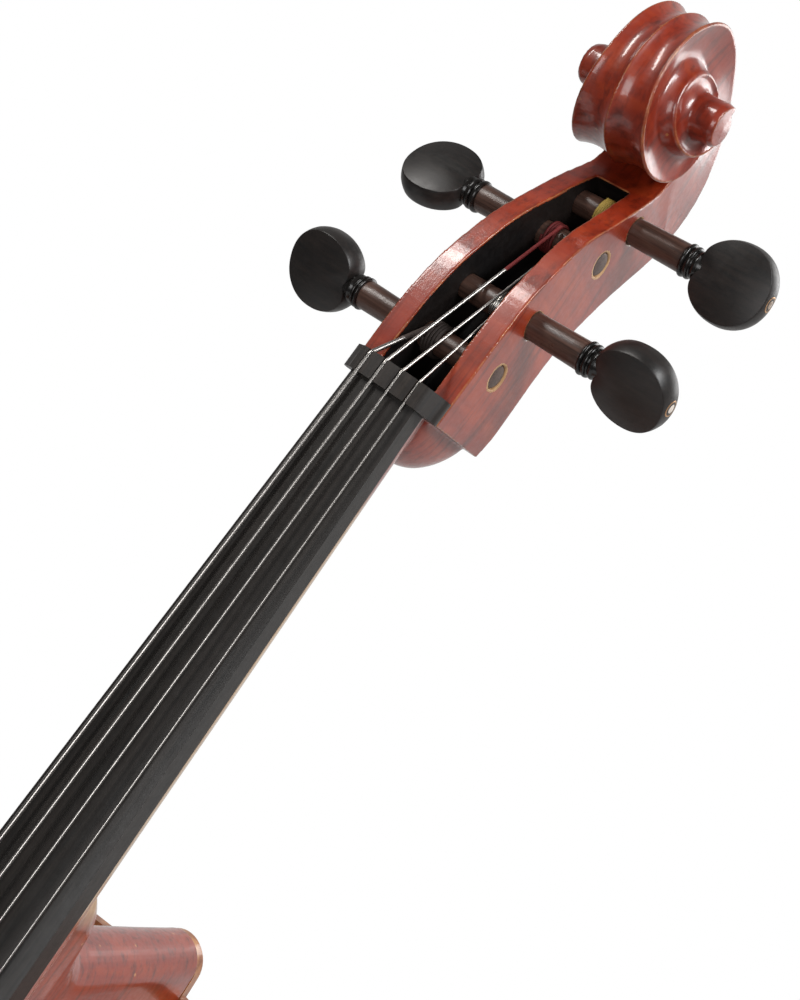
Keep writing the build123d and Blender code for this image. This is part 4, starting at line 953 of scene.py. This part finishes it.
for name, ob in NODES.items():
    mat = ASSIGN.get(name)
    if name.startswith("rib_"):
        mat = M_MAPLE
    if name.startswith("string_"):
        mat = M_STR[name[-1]]
    if name.startswith("tuner_lever"):
        mat = M_BLACKSTEEL
    if name.startswith("tuner_screw"):
        mat = M_STEEL
    if mat is None:
        continue
    if not ob.material_slots:
        ob.data.materials.append(mat)
    for s in ob.material_slots:
        s.material = mat

# ------------------------------------------------------------------ stage, lights, camera
def stage_material(name, value):
    m = Mat(name)
    n = m.noise(m.co, 3.0, 3.0)
    m.set(color=m.ramp(n, [(0.0, (value, value, value)), (1.0, (value * 1.02, value * 1.02, value * 1.02))]), rough=0.7)
    return m.m


bpy.ops.mesh.primitive_circle_add(vertices=96, radius=1.05, fill_type="NGON", location=(0, 0, 0))
floor = bpy.context.object
floor.name = "floor_disc"
floor.data.materials.append(stage_material("floor_pale", 0.86))

world = bpy.data.worlds.new("studio")
bpy.context.scene.world = world
world.use_nodes = True
wt = world.node_tree
wt.nodes.clear()
wo = wt.nodes.new("ShaderNodeOutputWorld")
wm = wt.nodes.new("ShaderNodeMixShader")
lp = wt.nodes.new("ShaderNodeLightPath")
amb = wt.nodes.new("ShaderNodeBackground")
amb.inputs[0].default_value = (0.98, 0.99, 1.0, 1.0)
amb.inputs[1].default_value = 1.0
tc = wt.nodes.new("ShaderNodeTexCoord")
sep = wt.nodes.new("ShaderNodeSeparateXYZ")
wr = wt.nodes.new("ShaderNodeValToRGB")
wr.color_ramp.elements[0].position, wr.color_ramp.elements[0].color = 0.0, (0.07, 0.07, 0.072, 1.0)
wr.color_ramp.elements[1].position, wr.color_ramp.elements[1].color = 1.0, (0.78, 0.77, 0.76, 1.0)
wmr = wt.nodes.new("ShaderNodeMapRange")
wmr.inputs[1].default_value, wmr.inputs[2].default_value = 0.0, 1.0
wt.links.new(tc.outputs["Generated"], sep.inputs[0])
wt.links.new(sep.outputs[1], wmr.inputs[0])
wt.links.new(wmr.outputs[0], wr.inputs[0])
wt.links.new(wr.outputs[0], amb.inputs[0])
cam_bg = wt.nodes.new("ShaderNodeBackground")
cam_bg.inputs[0].default_value = (1.0, 1.0, 1.0, 1.0)
cam_bg.inputs[1].default_value = 1.0
wt.links.new(lp.outputs["Is Camera Ray"], wm.inputs[0])
wt.links.new(amb.outputs[0], wm.inputs[1])
wt.links.new(cam_bg.outputs[0], wm.inputs[2])
wt.links.new(wm.outputs[0], wo.inputs[0])


def area(name, loc, target, size, power, color=(1, 1, 1), size_y=None):
    li = bpy.data.lights.new(name, "AREA")
    li.shape = "RECTANGLE"
    li.size, li.size_y = size, size_y or size
    li.energy, li.color = power, color
    ob = bpy.data.objects.new(name, li)
    ob.location = loc
    ob.rotation_euler = (Vector(target) - Vector(loc)).to_track_quat("-Z", "Y").to_euler()
    bpy.context.scene.collection.objects.link(ob)
    return ob


HEAD = (0.0, 0.0, 1.29)
area("key_left", (-1.1, -1.1, 2.4), HEAD, 0.32, 20, (1.0, 0.98, 0.95), 0.9)
area("top_right", (1.15, -0.5, 2.2), HEAD, 0.3, 20, (0.98, 0.99, 1.0), 0.9)
area("front_low", (0.8, -2.2, 0.9), (0.0, 0.0, 0.8), 1.0, 16)
area("back_rim", (0.6, 1.6, 2.2), HEAD, 1.0, 12)

# the camera of the photograph: three image axes in the neck frame
IMG_X = (0.7261008829967361, 0.5899087577622515, -0.35324943768781464)
IMG_Y = (0.5193263269457344, -0.8072159941046699, -0.28053966743165115)
VIEW = (-0.4506414027277255, 0.020248367267673678, -0.8924753944902801)
EX, WV, NV = Vector((1, 0, 0)), Vector((0, S10, C10)), Vector((0, -C10, S10))


def row(v):
    return EX * v[0] + WV * v[1] + NV * v[2]


cam_data = bpy.data.cameras.new("photo_camera")
cam = bpy.data.objects.new("photo_camera", cam_data)
cx, cy, cz = row(IMG_X).normalized(), -row(IMG_Y).normalized(), -row(VIEW).normalized()
mw = Matrix((cx, cy, cz)).transposed().to_4x4()
mw.translation = Vector(nf(np.array([262.00754, -39.34944, 453.36573])))
cam.matrix_world = mw
cam_data.sensor_width = 36.0
cam_data.sensor_fit = "AUTO"
cam_data.lens = 1449.80 * 36.0 / 1000.0
cam_data.clip_start = 0.01
cam_data.clip_end = 50.0
cam_data.dof.use_dof = False
bpy.context.scene.collection.objects.link(cam)
bpy.context.scene.camera = cam
bpy.context.scene.view_settings.view_transform = "Standard"
